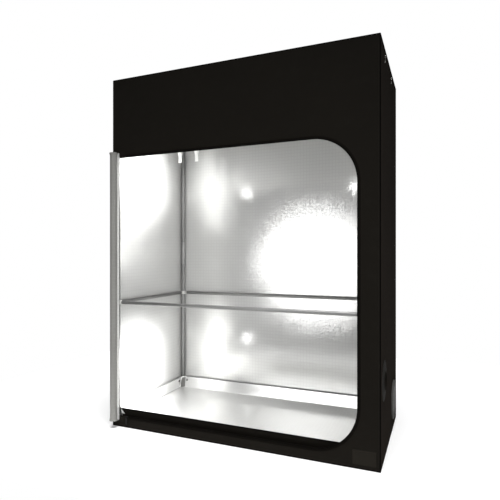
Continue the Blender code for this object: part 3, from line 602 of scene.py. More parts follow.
class Workpiece:
    """One mesh on the bench, shaped by edit operators and finished by applied modifiers."""

    TURNS = {Axis.X: (0.0, pi / 2, 0.0), Axis.Y: (-pi / 2, 0.0, 0.0), Axis.Z: (0.0, 0.0, 0.0)}

    def __init__(self, name: str, obj: bpy.types.Object | None = None) -> None:
        """Take up an object.

        Args:
            name: the piece's name.
            obj: the object, or nothing for the one that an operator has just added.
        """
        self.obj = obj or bpy.context.active_object
        self.obj.name = name
        self.obj.data.name = name

    @classmethod
    def cylinder(cls, name: str, radius: float, low: float, high: float, sides: int = 48,
                 along: Axis = Axis.Z) -> "Workpiece":
        """Add a round bar on an axis.

        Args:
            name: the piece's name.
            radius: the bar's radius.
            low: where it starts on the axis.
            high: where it ends.
            sides: how many flats make it round.
            along: the axis.

        Returns:
            The bar.
        """
        clear_selection()
        bpy.ops.mesh.primitive_cylinder_add(
            vertices=sides, radius=radius, depth=high - low, location=along.at((low + high) / 2),
            rotation=cls.TURNS[along])
        return cls(name).settle()

    @classmethod
    def block(cls, name: str, low: Place, high: Place) -> "Workpiece":
        """Add a block.

        Args:
            name: the piece's name.
            low: its corner at the left, front and bottom.
            high: the corner across from that one.

        Returns:
            The block.
        """
        clear_selection()
        centre = [(a + b) / 2 for a, b in zip(low, high)]
        bpy.ops.mesh.primitive_cube_add(size=1, location=centre, scale=[b - a for a, b in zip(low, high)])
        return cls(name).settle()

    @classmethod
    def grid(cls, name: str, size: tuple[float, float], cells: tuple[int, int]) -> "Workpiece":
        """Add a flat sheet in the XY plane, round the origin.

        Args:
            name: the piece's name.
            size: its width and length.
            cells: how many cells it has each way.

        Returns:
            The sheet.
        """
        clear_selection()
        bpy.ops.mesh.primitive_grid_add(x_subdivisions=cells[0], y_subdivisions=cells[1], size=1)
        bpy.context.active_object.scale = (*size, 1)
        return cls(name).settle()

    @classmethod
    def ring(cls, name: str, radius: float, bore: float, low: float, high: float,
             sides: int = 48) -> "Workpiece":
        """Add a round tube along Z, open at both ends.

        Args:
            name: the piece's name.
            radius: the tube's outer radius.
            bore: its inner radius.
            low: its lower end.
            high: its upper end.
            sides: how many flats make it round.

        Returns:
            The tube.
        """
        piece = cls.cylinder(name, radius, low, high, sides)
        piece.pick(Pick.FACES, lambda middle, normal: abs(normal.z) > 0.9)
        bpy.ops.mesh.inset(thickness=radius - bore)
        bpy.ops.mesh.delete(type="ONLY_FACE")
        bpy.ops.mesh.bridge_edge_loops()
        return piece.face_outwards()

    @classmethod
    def drawn(cls, name: str, points: Sequence[Place], faces: Sequence[Sequence[int]]) -> "Workpiece":
        """Draw a mesh.

        Args:
            name: the piece's name.
            points: its points.
            faces: its faces, each as the numbers of its points.

        Returns:
            The piece.
        """
        mesh = bpy.data.meshes.new(name)
        mesh.from_pydata(points, [], faces)
        obj = bpy.data.objects.new(name, mesh)
        bpy.context.scene.collection.objects.link(obj)
        return cls(name, obj)

    @classmethod
    def rows(cls, name: str, rows: Sequence[Sequence[Place]], around: bool = False, over: bool = False,
             lengths: tuple[float, float] | None = None) -> "Workpiece":
        """A sheet through rows of points.

        Args:
            name: the piece's name.
            rows: the rows, with as many points each.
            around: whether each row closes on itself.
            over: whether the last row joins the first.
            lengths: where the sheet has a map of its own, its measures across the rows and along them.

        Returns:
            The sheet, with no thickness.
        """
        clear_selection()
        count, wide = len(rows), len(rows[0])
        last_row = count if over else count - 1
        last_point = wide if around else wide - 1
        cells = [(row, point) for row in range(last_row) for point in range(last_point)]
        corners = ((0, 0), (0, 1), (1, 1), (1, 0))
        faces = [[(row + down) % count * wide + (point + right) % wide for down, right in corners]
                 for row, point in cells]
        piece = cls.drawn(name, [point for row in rows for point in row], faces)
        if lengths is not None:
            places = [((point + right) / last_point * lengths[0], (row + down) / last_row * lengths[1])
                      for row, point in cells for down, right in corners]
            uv = piece.obj.data.uv_layers.new(name="UVMap")
            for corner, place in zip(uv.data, places):
                corner.uv = place
        return piece

    def activate(self) -> "Workpiece":
        """Make this the one object that operators act on.

        Returns:
            The piece.
        """
        if bpy.context.object is not self.obj or self.obj.mode != "EDIT":
            clear_selection()
        self.obj.select_set(True)
        bpy.context.view_layer.objects.active = self.obj
        return self

    def operate(self, operator: Callable[..., set[str]], **settings: object) -> "Workpiece":
        """Run an operator on this piece alone.

        Args:
            operator: the operator.
            settings: its settings.

        Returns:
            The piece.
        """
        self.activate()
        operator(**settings)
        return self

    def settle(self) -> "Workpiece":
        """Put the object's place, turn and scale into its mesh."""
        return self.operate(bpy.ops.object.transform_apply, location=True, rotation=True, scale=True)

    def edit(self) -> "Workpiece":
        """Enter edit mode."""
        return self.operate(bpy.ops.object.mode_set, mode="EDIT")

    def face_outwards(self) -> "Workpiece":
        """Turn every face outwards and leave edit mode.

        Returns:
            The piece.
        """
        bpy.ops.mesh.select_all(action="SELECT")
        bpy.ops.mesh.normals_make_consistent(inside=False)
        return self.leave()

    def leave(self) -> "Workpiece":
        """Go back to object mode."""
        bpy.ops.object.mode_set(mode="OBJECT")
        return self

    def pick(self, kind: Pick, test: Callable[[Vector, Vector], bool]) -> "Workpiece":
        """Enter edit mode with only some faces or edges selected.

        Args:
            kind: faces or edges.
            test: whether one is wanted, by its middle and by its normal or an edge's direction.

        Returns:
            The piece.
        """
        self.edit()
        bpy.ops.mesh.select_mode(type=kind.value)
        bpy.ops.mesh.select_all(action="DESELECT")
        cage = bmesh.from_edit_mesh(self.obj.data)
        if kind is Pick.FACES:
            for face in cage.faces:
                face.select_set(test(face.calc_center_median(), face.normal))
        else:
            for edge in cage.edges:
                one, other = (vert.co for vert in edge.verts)
                edge.select_set(test((one + other) / 2, (other - one).normalized()))
        bmesh.update_edit_mesh(self.obj.data)
        return self

    def modify(self, kind: str, **settings: object) -> "Workpiece":
        """Add a modifier and apply it at once.

        Args:
            kind: the modifier's type.
            settings: its settings.

        Returns:
            The piece.
        """
        modifier = self.obj.modifiers.new(kind.lower(), kind)
        for key, value in settings.items():
            setattr(modifier, key, value)
        return self.operate(bpy.ops.object.modifier_apply, modifier=modifier.name)

    def combine(self, operation: str, others: Iterable["Workpiece"]) -> "Workpiece":
        """Use up other pieces on this one.

        Args:
            operation: the Boolean's operation.
            others: the pieces.

        Returns:
            The piece.
        """
        for other in others:
            self.modify("BOOLEAN", operation=operation, object=other.obj)
            other.discard()
        return self

    def unite(self, *others: "Workpiece") -> "Workpiece":
        """Fuse other pieces into this one."""
        return self.combine("UNION", others)

    def cut(self, *others: "Workpiece") -> "Workpiece":
        """Cut other pieces out of this one."""
        return self.combine("DIFFERENCE", others)

    def round_edges(self, width: float, segments: int = 2, angle: float = 35) -> "Workpiece":
        """Round every edge that is sharper than an angle in degrees."""
        return self.modify("BEVEL", width=width, segments=segments, limit_method="ANGLE",
                           angle_limit=radians(angle), harden_normals=False)

    def thicken(self, thickness: float, offset: float = -1.0, back: int = 0) -> "Workpiece":
        """Give a sheet its thickness, its back in the material that comes so many places after the face's."""
        return self.modify("SOLIDIFY", thickness=thickness, offset=offset, use_even_offset=True,
                           material_offset=back)

    def smooth(self, angle: float = 35) -> "Workpiece":
        """Shade it smooth but for edges sharper than an angle in degrees."""
        return self.operate(bpy.ops.object.shade_smooth_by_angle, angle=radians(angle))

    def shape(self, move: Callable[[Vector], Vector]) -> "Workpiece":
        """Move each point.

        Args:
            move: gives a point's new place for its old one.

        Returns:
            The piece.
        """
        for vert in self.obj.data.vertices:
            vert.co = move(vert.co)
        self.obj.data.update()
        return self

    def put(self, matrix: Matrix) -> "Workpiece":
        """Turn and move the mesh itself.

        Args:
            matrix: the move.

        Returns:
            The piece.
        """
        self.obj.data.transform(matrix)
        if matrix.determinant() < 0:
            self.obj.data.flip_normals()
        return self

    def copy(self, name: str, matrix: Matrix) -> "Workpiece":
        """Copy the piece with a mesh of its own.

        Args:
            name: the copy's name.
            matrix: where the copy is moved to.

        Returns:
            The copy.
        """
        obj = self.obj.copy()
        obj.data = self.obj.data.copy()
        bpy.context.scene.collection.objects.link(obj)
        return Workpiece(name, obj).put(matrix)

    def dress(self, slot: Slot, *materials: bpy.types.Material, nodes: Iterable[str] = (),
              body: Body = Body.TENT) -> "Workpiece":
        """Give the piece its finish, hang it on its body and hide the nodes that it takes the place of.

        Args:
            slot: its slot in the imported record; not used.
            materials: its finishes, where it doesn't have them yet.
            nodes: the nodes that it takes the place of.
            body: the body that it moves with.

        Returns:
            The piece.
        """
        if materials:
            while len(self.obj.data.materials) < len(materials):
                self.obj.data.materials.append(None)
            for index, material in enumerate(materials):
                self.obj.data.materials[index] = material
        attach(self.obj, body.value)
        if nodes:
            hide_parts(*nodes)
        LOG.info("%s: %d faces", self.obj.name, len(self.obj.data.polygons))
        return self

    def discard(self) -> None:
        """Take a pattern piece off the bench once its copies are made."""
        bpy.data.objects.remove(self.obj)


def scatter(name: str, pattern: Workpiece, places: Sequence[Matrix]) -> Workpiece:
    """One piece made of a pattern set down at many places, such as a row of stitches.

    Args:
        name: the new piece's name.
        pattern: a small piece of a few dozen faces.
        places: where each one lies.

    Returns:
        The new piece.
    """
    seed = [vert.co.copy() for vert in pattern.obj.data.vertices]
    polygons = [tuple(face.vertices) for face in pattern.obj.data.polygons]
    points, faces = [], []
    for matrix in places:
        start = len(points)
        points.extend(matrix @ point for point in seed)
        faces.extend(tuple(index + start for index in polygon) for polygon in polygons)
    return Workpiece.drawn(name, points, faces)


def basis(origin: Vector, x: Vector, y: Vector, z: Vector) -> Matrix:
    """Set out a place by its directions.

    Args:
        origin: the place.
        x: where its X points.
        y: where its Y points.
        z: where its Z points.

    Returns:
        The move from the origin to there.
    """
    matrix = Matrix((x, y, z)).transposed().to_4x4()
    matrix.translation = origin
    return matrix


def stitch_pattern(length: float, radius: float) -> Workpiece:
    """Make one stitch along X, half sunk in the cloth below it.

    Args:
        length: the stitch's length.
        radius: the yarn's radius.

    Returns:
        The stitch.
    """
    piece = Workpiece.cylinder("stitch", radius, -length / 2, length / 2, sides=6, along=Axis.X)
    piece.pick(Pick.FACES, lambda middle, normal: abs(normal.x) > 0.9)
    bpy.ops.mesh.inset(thickness=radius * 0.4)
    piece.leave()
    piece.shape(lambda co: Vector((co.x, co.y, co.z + radius * (0.4 - 1.6 * (2 * co.x / length) ** 2))))
    return piece.smooth(80)


def walk(path: Sequence[Vector], pitch: float, margin: float = 0.0) -> list[tuple[Vector, Vector]]:
    """Pace out a path.

    Args:
        path: its corners.
        pitch: from place to place.
        margin: how far along the first place is.

    Returns:
        The places, each with the path's direction there.
    """
    found = []
    wanted = margin
    gone = 0.0
    for start, end in zip(path, path[1:]):
        step = (end - start).length
        way = (end - start) / max(step, 1e-9)
        while wanted <= gone + step:
            found.append((start + way * (wanted - gone), way))
            wanted += pitch
        gone += step
    return found


STITCH_SHARE = 0.72


def sew(name: str, path: Sequence[Vector], outward: Vector, yarn: Thread, pitch: float = 3.4 * MM,
        radius: float = 0.35 * MM, slot: Slot = Slot.BLACK_CLOTH, body: Body = Body.TENT) -> Workpiece:
    """Sew a row of stitches on a cloth.

    Args:
        name: the row's name.
        path: its corners.
        outward: the way that the cloth faces.
        yarn: its yarn.
        pitch: from stitch to stitch.
        radius: the yarn's radius.
        slot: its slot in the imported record.
        body: the body that it moves with.

    Returns:
        The row.
    """
    pattern = stitch_pattern(pitch * STITCH_SHARE, radius)
    places = []
    for spot, way in walk(path, pitch, pitch / 2):
        side = outward.cross(way).normalized()
        places.append(basis(spot, way, side, outward))
    row = scatter(name, pattern, places)
    pattern.discard()
    return row.smooth(60).dress(slot, yarn.material(), body=body)


@dataclass
class Doorway:
    """The D-shaped hole in the front panel, read from the zip tape round it."""

    tape_width: float = 12 * MM
    radius: float = 0.170
    arc_steps: int = 24

    def __post_init__(self) -> None:
        """Read the doorway's edges from the frame."""
        tape = Span.of("door_zip_tape")
        self.left = Span.of("door_roll").high.x
        self.right = tape.high.x - self.tape_width
        self.sill = tape.low.z + self.tape_width
        self.head = tape.high.z - self.tape_width
        self.tape_start = tape.low.x

    def path(self, out: float, depth: float, start: float | None = None) -> list[Vector]:
        """Draw the zipped edge, from the sill's left end to the head's left end.

        Args:
            out: how far outside the doorway it runs.
            depth: the depth that it lies at.
            start: where its ends are, or nothing for the sewn edge.

        Returns:
            Its points.
        """
        left = self.left if start is None else start
        reach = self.radius + out
        centre_x = self.right - self.radius
        low, high = self.sill + self.radius, self.head - self.radius
        points = [Vector((left, depth, self.sill - out))]
        for centre_z, first in ((low, -90), (high, 0)):
            for step in range(self.arc_steps + 1):
                angle = radians(first + 90 * step / self.arc_steps)
                x, z = centre_x + reach * cos(angle), centre_z + reach * sin(angle)
                points.append(Vector((x, depth, z)))
        points.append(Vector((left, depth, self.head + out)))
        return points

    def cutter(self, depth: float) -> Workpiece:
        """Make the doorway's shape, drawn with X across and Y up, to cut a sheet in the XY plane.

        Args:
            depth: how far it reaches each way from the plane.

        Returns:
            The cutter.
        """
        low, high = (self.left, self.sill, -depth), (self.right, self.head, depth)
        piece = Workpiece.block("doorway_cutter", low, high)
        piece.pick(Pick.EDGES, lambda middle, way: abs(way.z) > 0.9 and middle.x > self.right - MM)
        bpy.ops.mesh.bevel(offset=self.radius, segments=self.arc_steps, profile=0.5)
        return piece.leave()


class Facing(Enum):
    """Which way a panel of the skin faces: its two own directions and its outward one."""

    FRONT = (RIGHTWARDS, UPWARDS, FORWARDS, Axis.X, Axis.Z)
    BACK = (-RIGHTWARDS, UPWARDS, BACKWARDS, Axis.X, Axis.Z)
    RIGHT = (BACKWARDS, UPWARDS, RIGHTWARDS, Axis.Y, Axis.Z)
    LEFT = (FORWARDS, UPWARDS, -RIGHTWARDS, Axis.Y, Axis.Z)
    ROOF = (RIGHTWARDS, BACKWARDS, UPWARDS, Axis.X, Axis.Y)
    GROUND = (RIGHTWARDS, FORWARDS, -UPWARDS, Axis.X, Axis.Y)

    @property
    def bars(self) -> list[str]:
        """The bars of the cage that a panel facing this way is stretched over."""
        levels, sides = PANEL_BARS[self]
        return [f"{level}_bar_{side}" for level in levels for side in sides]


PANEL_BARS = {
    Facing.FRONT: (("top", "bottom"), ("front",)),
    Facing.BACK: (("top", "bottom"), ("rear",)),
    Facing.RIGHT: (("top", "bottom"), ("right",)),
    Facing.LEFT: (("top", "bottom"), ("left",)),
    Facing.ROOF: (("top",), ("left", "right")),
    Facing.GROUND: (("bottom",), ("left", "right")),
}


@dataclass
class Pucker:
    """A round place where a panel rises and gathers towards a sleeve."""

    middle: tuple[float, float]
    radius: float
    rise: float
    folds: int = 22

    def lift(self, across: float, along: float) -> float:
        """Work out how far the cloth stands out at a place on the panel.

        Args:
            across: how far across the panel the place is.
            along: how far along it.

        Returns:
            The cloth's rise there.
        """
        u, v = across - self.middle[0], along - self.middle[1]
        distance = hypot(u, v)
        near = 1 - ease(distance / self.radius)
        fold = 0.5 + 0.5 * sin(self.folds * atan2(v, u))
        return self.rise * near * (0.7 + 0.3 * fold)


@dataclass
class SkinPanel:
    """One panel of the skin, cut from cloth that is black outside and reflecting inside."""

    node: str
    facing: Facing
    seed: float
    cell: float = 0.022
    ripple: float = 1.1 * MM
    edge_band: float = 0.10
    puckers: tuple[Pucker, ...] = ()
    tone: Colour = OuterCloth.tone
    gloss: float = OuterCloth.gloss
    film: ReflectingFoil = FOIL

    def __post_init__(self) -> None:
        """Read the panel's place from the frame."""
        self.span = Span.of(self.node)
        self.across, self.along, self.out, self.u_axis, self.v_axis = self.facing.value
        middle, size = self.span.middle, self.span.size
        self.width = abs(size.dot(self.across))
        self.length = abs(size.dot(self.along))
        self.thickness = abs(size.dot(self.out))
        outer_face = middle + self.out * self.thickness / 2
        self.place = basis(outer_face, self.across, self.along, self.out)

    def to_sheet(self, point: Vector) -> Vector:
        """A place of the tent in the sheet's own flat drawing."""
        return self.place.inverted() @ point

    def relief(self, co: Vector) -> Vector:
        """Work out where a point of the flat sheet lies once the skin is pulled over the frame.

        Args:
            co: the point.

        Returns:
            Its new place.
        """
        inset = min(self.width / 2 - abs(co.x), self.length / 2 - abs(co.y))
        held = ease(inset / self.edge_band)
        flat = (co.x, co.y, 0.0)
        wave = rolling(flat, 0.34, self.seed) + 0.5 * rolling(flat, 0.13, self.seed + 5)
        sink = self.ripple * held * (0.8 + wave)
        lift = sum(pucker.lift(co.x, co.y) for pucker in self.puckers)
        return Vector((co.x, co.y, co.z - max(sink, 0.0) + lift))

    def cut_sheet(self, *cutters: Workpiece, area: float | None = None) -> Workpiece:
        """Cut the sheet, shape it and put it in its place.

        Args:
            cutters: blocks that cut the holes, in the sheet's own drawing.
            area: the cloth's flat area where holes make it less than a rectangle; not used.

        Returns:
            The finished panel.
        """
        cells = (round(self.width / self.cell), round(self.length / self.cell))
        piece = Workpiece.grid(f"{self.node}_cloth", (self.width, self.length), cells)
        piece.shape(self.relief)
        half = (self.width / 2, self.length / 2)
        middle = (self.span.middle[self.u_axis.value], self.span.middle[self.v_axis.value])
        outside = OuterCloth(f"{self.node}_black", self.u_axis, self.v_axis, middle, half, self.tone,
                             self.gloss)
        for finish in (outside, self.film):
            piece.obj.data.materials.append(finish.material())
        piece.thicken(self.thickness, back=1)
        piece.cut(*cutters)
        piece.put(self.place).smooth(40)
        piece.dress(Slot.BLACK_CLOTH, nodes=(self.node,))
        return piece


@dataclass
class Skin:
    """The sewn skin: six panels, the piping on their seams, and small fittings."""

    doorway: Doorway
    overrun: float = 0.02
    port_hole: float = 0.045
    vent_hole: float = 0.074
    duct_hole: float = 0.0625
    piping_radius: float = 2.1 * MM
    piping_sunk_share: float = 0.45
    eyelet_radius: float = 6.0 * MM
    eyelet_bore: float = 3.0 * MM
    eyelet_height: float = 1.6 * MM
    eyelet_spacing: float = 18 * MM
    patch: Span = Span(Vector((0.498, 0, 0.015)), Vector((0.585, 0, 0.071)))
    patch_thickness: float = 0.65 * MM
    patch_border: float = 2.4 * MM
    patch_stitch_inset: float = 4 * MM

    def __post_init__(self) -> None:
        """Read the skin's outline from the frame."""
        self.box = Span(Span.of("front_panel").low, Span.of("back_wall").high)

    def build(self) -> None:
        """Make every piece of the skin."""
        self.build_front()
        SkinPanel("back_wall", Facing.BACK, seed=3.0, ripple=0.35 * MM).cut_sheet()
        # The left wall takes the darker copy of the foil, which paints shade on it.
        SkinPanel("left_wall", Facing.LEFT, seed=7.0, ripple=0.5 * MM, film=LEFT_FOIL_PAINTED_SHADE).cut_sheet()
        SkinPanel("floor_panel", Facing.GROUND, seed=11.0, ripple=0.0).cut_sheet()
        self.build_right()
        self.build_roof()
        self.build_piping()
        self.build_eyelets()
        self.build_patch()

    def hole(self, spot: Vector, radius: float) -> Workpiece:
        """A round cutter at a place in a panel's own drawing."""
        cutter = Workpiece.cylinder("hole", radius, -self.overrun, self.overrun, sides=64)
        return cutter.put(Matrix.Translation((spot.x, spot.y, 0)))

    def build_front(self) -> None:
        """The front panel with the doorway cut out of it."""
        panel = SkinPanel("front_panel", Facing.FRONT, seed=1.0, cell=0.018)
        cutter = self.doorway.cutter(self.overrun).put(Matrix.Translation((0, -panel.span.middle.z, 0)))
        door_width = self.doorway.right - self.doorway.left
        door_height = self.doorway.head - self.doorway.sill
        rounded_off = (4 - pi) * self.doorway.radius**2 / 2
        area = panel.width * panel.length - door_width * door_height + rounded_off
        panel.cut_sheet(cutter, area=area)

    def build_right(self) -> None:
        """The right wall with its vent hole and cable port, and the cloth gathered round the port; its black
        cloth is a lighter, warmer copy without gloss, which paints in the light that falls on this side.
        """
        bare = SkinPanel("right_wall", Facing.RIGHT, seed=9.0)
        port, vent = [bare.to_sheet(Span.of(node).middle) for node in ("cable_sleeve", "vent_ring")]
        gather = Pucker((port.x, port.y), 0.125, 2.5 * MM)
        # The tone and gloss below make a lit copy of the black cloth: painted light on this side of the tent.
        panel = SkinPanel("right_wall", Facing.RIGHT, seed=9.0, cell=0.0125, puckers=(gather,),
                          tone=(0.0125, 0.0095, 0.0072), gloss=0.0)
        panel.cut_sheet(self.hole(port, self.port_hole), self.hole(vent, self.vent_hole))

    def build_roof(self) -> None:
        """The roof with the hole of its duct port."""
        panel = SkinPanel("roof_panel", Facing.ROOF, seed=13.0)
        panel.cut_sheet(self.hole(panel.to_sheet(Span.of("duct_sleeve").middle), self.duct_hole))

    def build_piping(self) -> None:
        """A narrow piping sewn into each of the twelve seams, much blacker than the cloth: real piping whose
        colour also paints the shade in the seam.
        """
        low, high = self.box.low, self.box.high
        sunk = self.piping_radius * self.piping_sunk_share
        ends = {Axis.X: ("front", "back"), Axis.Y: ("left", "right"), Axis.Z: ("left", "right")}
        for along in Axis:
            first, second = [axis.value for axis in Axis if axis is not along]
            levels = ("front", "back") if along is Axis.Z else ("bottom", "top")
            start, end = low[along.value] + MM, high[along.value] - MM
            for one, other in ((0, 0), (0, 1), (1, 0), (1, 1)):
                name = f"piping_{levels[other]}_{ends[along][one]}"
                spot = Vector()
                spot[first] = high[first] - sunk if one else low[first] + sunk
                spot[second] = high[second] - sunk if other else low[second] + sunk
                if along is not Axis.Z and not other:
                    spot.z += sunk
                piece = Workpiece.cylinder(name, self.piping_radius, start, end, sides=12, along=along)
                piece.put(Matrix.Translation(spot)).round_edges(0.4 * MM).smooth(50)
                piece.dress(Slot.BLACK_CLOTH, PIPING_WITH_PAINTED_SHADE.material())

    def build_eyelets(self) -> None:
        """Two pairs of eyelets high in each side wall, at the ends of the ceiling bars."""
        pattern = eyelet_pattern(self.eyelet_radius, self.eyelet_bore, self.eyelet_height)
        sunk = 0.6 * MM
        for row in ("front", "rear"):
            place = Span.of(f"ceiling_bar_{row}").middle
            for level, rise in (("low", -self.eyelet_spacing / 2), ("high", self.eyelet_spacing / 2)):
                for side, sign, x in (("right", 1, self.box.high.x), ("left", -1, self.box.low.x)):
                    spot = Matrix.Translation((x - sign * sunk, place.y, place.z + rise))
                    turn = Matrix.Rotation(sign * pi / 2, 4, "Y")
                    eyelet = pattern.copy(f"eyelet_{row}_{side}_{level}", spot @ turn)
                    eyelet.dress(Slot.STEEL, NICKEL.material())
        pattern.discard()

    def build_patch(self) -> None:
        """A bare dark patch low on the front panel, with a sewn border."""
        low, high = self.patch.low, self.patch.high
        back = self.box.low.y - 0.05 * MM
        front = back - self.patch_thickness
        piece = Workpiece.block("front_patch", (low.x, front, low.z), (high.x, back, high.z))
        piece.pick(Pick.FACES, lambda middle, normal: normal.y < -0.9)
        bpy.ops.mesh.inset(thickness=self.patch_border)
        bpy.ops.transform.translate(value=(0, 0.25 * MM, 0))
        piece.leave().round_edges(0.25 * MM).smooth(50)
        cloth = OuterCloth("patch_cloth", tone=(0.0140, 0.0122, 0.0095), pitch=0.5 * MM)
        piece.dress(Slot.BLACK_CLOTH, cloth.material())
        inset = self.patch_stitch_inset
        left, right, bottom, top = low.x + inset, high.x - inset, low.z + inset, high.z - inset
        corners = ((left, bottom), (right, bottom), (right, top), (left, top), (left, bottom))
        path = [Vector((x, front + 0.15 * MM, z)) for x, z in corners]
        sew("front_patch_stitches", path, FORWARDS, GOLD_YARN, 2.6 * MM, 0.3 * MM)


def eyelet_pattern(radius: float, bore: float, height: float) -> Workpiece:
    """A rolled metal eyelet about Z, its flange on the XY plane."""
    piece = Workpiece.ring("eyelet", radius, bore, -height / 2, height, sides=32)
    return piece.round_edges(height * 0.45, segments=4, angle=50).smooth(60)


@dataclass
class Zip:
    """The half of the zip that stays on the front panel: its tape, coil and sewing."""

    doorway: Doorway
    tape_thickness: float = 0.7 * MM
    tape_columns: int = 6
    tape_cell: float = 0.02
    coil_pitch: float = 2.4 * MM
    coil_width: float = 3.6 * MM
    coil_height: float = 2.0 * MM
    coil_turn_points: int = 8
    wire_radius: float = 0.42 * MM
    wire_sides: int = 5
    seams: tuple[float, float] = (5.2 * MM, 10.2 * MM)

    def __post_init__(self) -> None:
        """Read the zip's place from the frame."""
        self.face = Span.of("front_panel").low.y - 0.25 * MM
        self.start = self.doorway.tape_start

    def build(self) -> None:
        """Make the tape, the coil and two rows of stitches."""
        self.build_tape()
        self.build_coil()
        for number, out in enumerate(self.seams, start=1):
            path = self.doorway.path(out, self.face - self.tape_thickness, self.start + MM)
            sew(f"zip_stitches_{number}", path, FORWARDS, BLACK_YARN)

    def build_tape(self) -> None:
        """The woven tape, sewn down along the doorway's edge."""
        width = self.doorway.tape_width
        outs = [width * step / self.tape_columns for step in range(self.tape_columns + 1)]
        rails = [self.doorway.path(out, self.face, self.start) for out in outs]
        rows = [list(points) for points in zip(*rails)]
        lengths = [(b[0] - a[0]).length for a, b in zip(rows, rows[1:])]
        length = sum(lengths)
        dense = []
        for (first, second), run in zip(zip(rows, rows[1:]), lengths):
            steps = max(1, round(run / self.tape_cell))
            dense += [[a.lerp(b, k / steps) for a, b in zip(first, second)] for k in range(steps)]
        dense.append(rows[-1])
        piece = Workpiece.rows("door_zip_tape_cloth", dense, lengths=(width, length))
        piece.thicken(self.tape_thickness, offset=1.0)
        piece.round_edges(0.15 * MM, segments=1, angle=60).smooth(45)
        piece.dress(Slot.BLACK_CLOTH, ZIP_TAPE.material(), nodes=("door_zip_tape",))

    def build_coil(self) -> None:
        """The coil of nylon wire along the tape's free edge."""
        path = self.doorway.path(self.coil_width / 2, self.face - self.tape_thickness, self.start + MM)
        lift = self.coil_height / 2 - self.wire_radius
        swing = self.coil_width / 2 - self.wire_radius
        centres = []
        for index, (spot, way) in enumerate(walk(path, self.coil_pitch / self.coil_turn_points)):
            side = way.cross(FORWARDS).normalized()
            angle = 2 * pi * index / self.coil_turn_points
            raised = self.wire_radius + lift * (1 + sin(angle))
            centres.append(spot + side * swing * cos(angle) + FORWARDS * raised)
        rows = []
        for before, centre, after in zip(centres[:1] + centres, centres, centres[1:] + centres[-1:]):
            way = (after - before).normalized()
            one = (one - way * one.dot(way)).normalized() if rows else way.orthogonal().normalized()
            rows.append(circle(centre, one, way.cross(one), self.wire_radius, self.wire_sides))
        piece = Workpiece.rows("zip_coil_wire", rows, around=True)
        close_ends(piece)
        piece.smooth(70).dress(Slot.BLACK_CLOTH, COIL.material())


def close_ends(piece: Workpiece) -> None:
    """Fill a tube's two open ends and turn its faces outwards.

    Args:
        piece: the tube.
    """
    piece.edit()
    bpy.ops.mesh.select_mode(type="EDGE")
    bpy.ops.mesh.select_all(action="DESELECT")
    bpy.ops.mesh.select_non_manifold()
    bpy.ops.mesh.edge_face_add()
    piece.face_outwards()


@dataclass
class DoorRoll:
    """The door, opened all the way and wound up at its sewn edge, reflecting face outwards."""

    turns: int = 17
    steps: int = 26
    core: float = 3.2 * MM
    cloth: float = 0.45 * MM
    rows: int = 60
    flare: float = 0.16
    flare_length: float = 0.022
    swell: float = 0.022
    strip_columns: int = 6

    def build(self, studio: "Studio") -> None:
        """Make the roll, the strip that runs to it and its hems.

        Args:
            studio: the studio, some of whose lamps spare the roll.
        """
        span = Span.of("door_roll")
        corner = Doorway.radius
        height = span.size.z
        radius = span.size.y / 2
        seam = Vector((span.high.x, span.high.y, 0))
        centre = Vector((seam.x - radius, span.low.y + radius, 0))
        winding = radius - self.cloth / 2
        pitch = (winding - self.core) / self.turns
        columns = [(seam + Vector((-self.cloth / 2, -step * radius / self.strip_columns, 0)), 0.0)
                   for step in range(self.strip_columns)]
        length = radius
        for step in range(self.turns * self.steps + 1):
            turn = step / self.steps
            here = winding - pitch * turn
            angle = -2 * pi * turn
            columns.append((centre + Vector((cos(angle), sin(angle), 0)) * here, 1.0))
            length += 2 * pi * here / self.steps
        length -= 2 * pi * winding / self.steps
        sheet_rows = []
        gone = 0.0
        for index, (spot, wound) in enumerate(columns):
            if index:
                gone += (spot - columns[index - 1][0]).length
            left_over = max(length - gone, 0.0)
            drop = 0.0
            if left_over < corner:
                drop = corner - sqrt(max(corner**2 - (corner - left_over) ** 2, 0.0))
            low, high = span.low.z + drop, span.high.z - drop
            away = spot - centre
            bend = atan2(away.y, away.x)
            row = []
            for level in range(self.rows + 1):
                share = level / self.rows
                share = 0.5 - 0.5 * cos(pi * share) if level not in (0, self.rows) else share
                z = low + (high - low) * share
                from_end = min(z - span.low.z, span.high.z - z)
                widen = 1 + self.flare * wound * ease(1 - from_end / self.flare_length) ** 2
                crease = rolling((cos(bend) * 0.8, sin(bend) * 0.8, z * 3.1), 0.55, 2.0)
                swell = 1 + self.swell * crease * wound
                row.append(centre + away * widen * swell + Vector((0, 0, z)))
            sheet_rows.append(row)
        piece = Workpiece.rows("door_roll_cloth", sheet_rows, lengths=(height, length))
        # The flat strip takes a light copy of the film and the wound roll a dark grey copy, which paints shade
        # on the roll.
        for finish in (STRIP_FOIL, ROLL_FOIL_PAINTED_SHADE, OuterCloth("door_black")):
            piece.obj.data.materials.append(finish.material())
        for index, face in enumerate(piece.obj.data.polygons):
            face.material_index = 0 if index < (self.strip_columns - 1) * self.rows else 1
        piece.thicken(self.cloth, offset=0.0, back=2).smooth(50)
        piece.dress(Slot.SILVER_CLOTH, nodes=("door_roll",), body=Body.ROLL)
        studio.spare(piece)


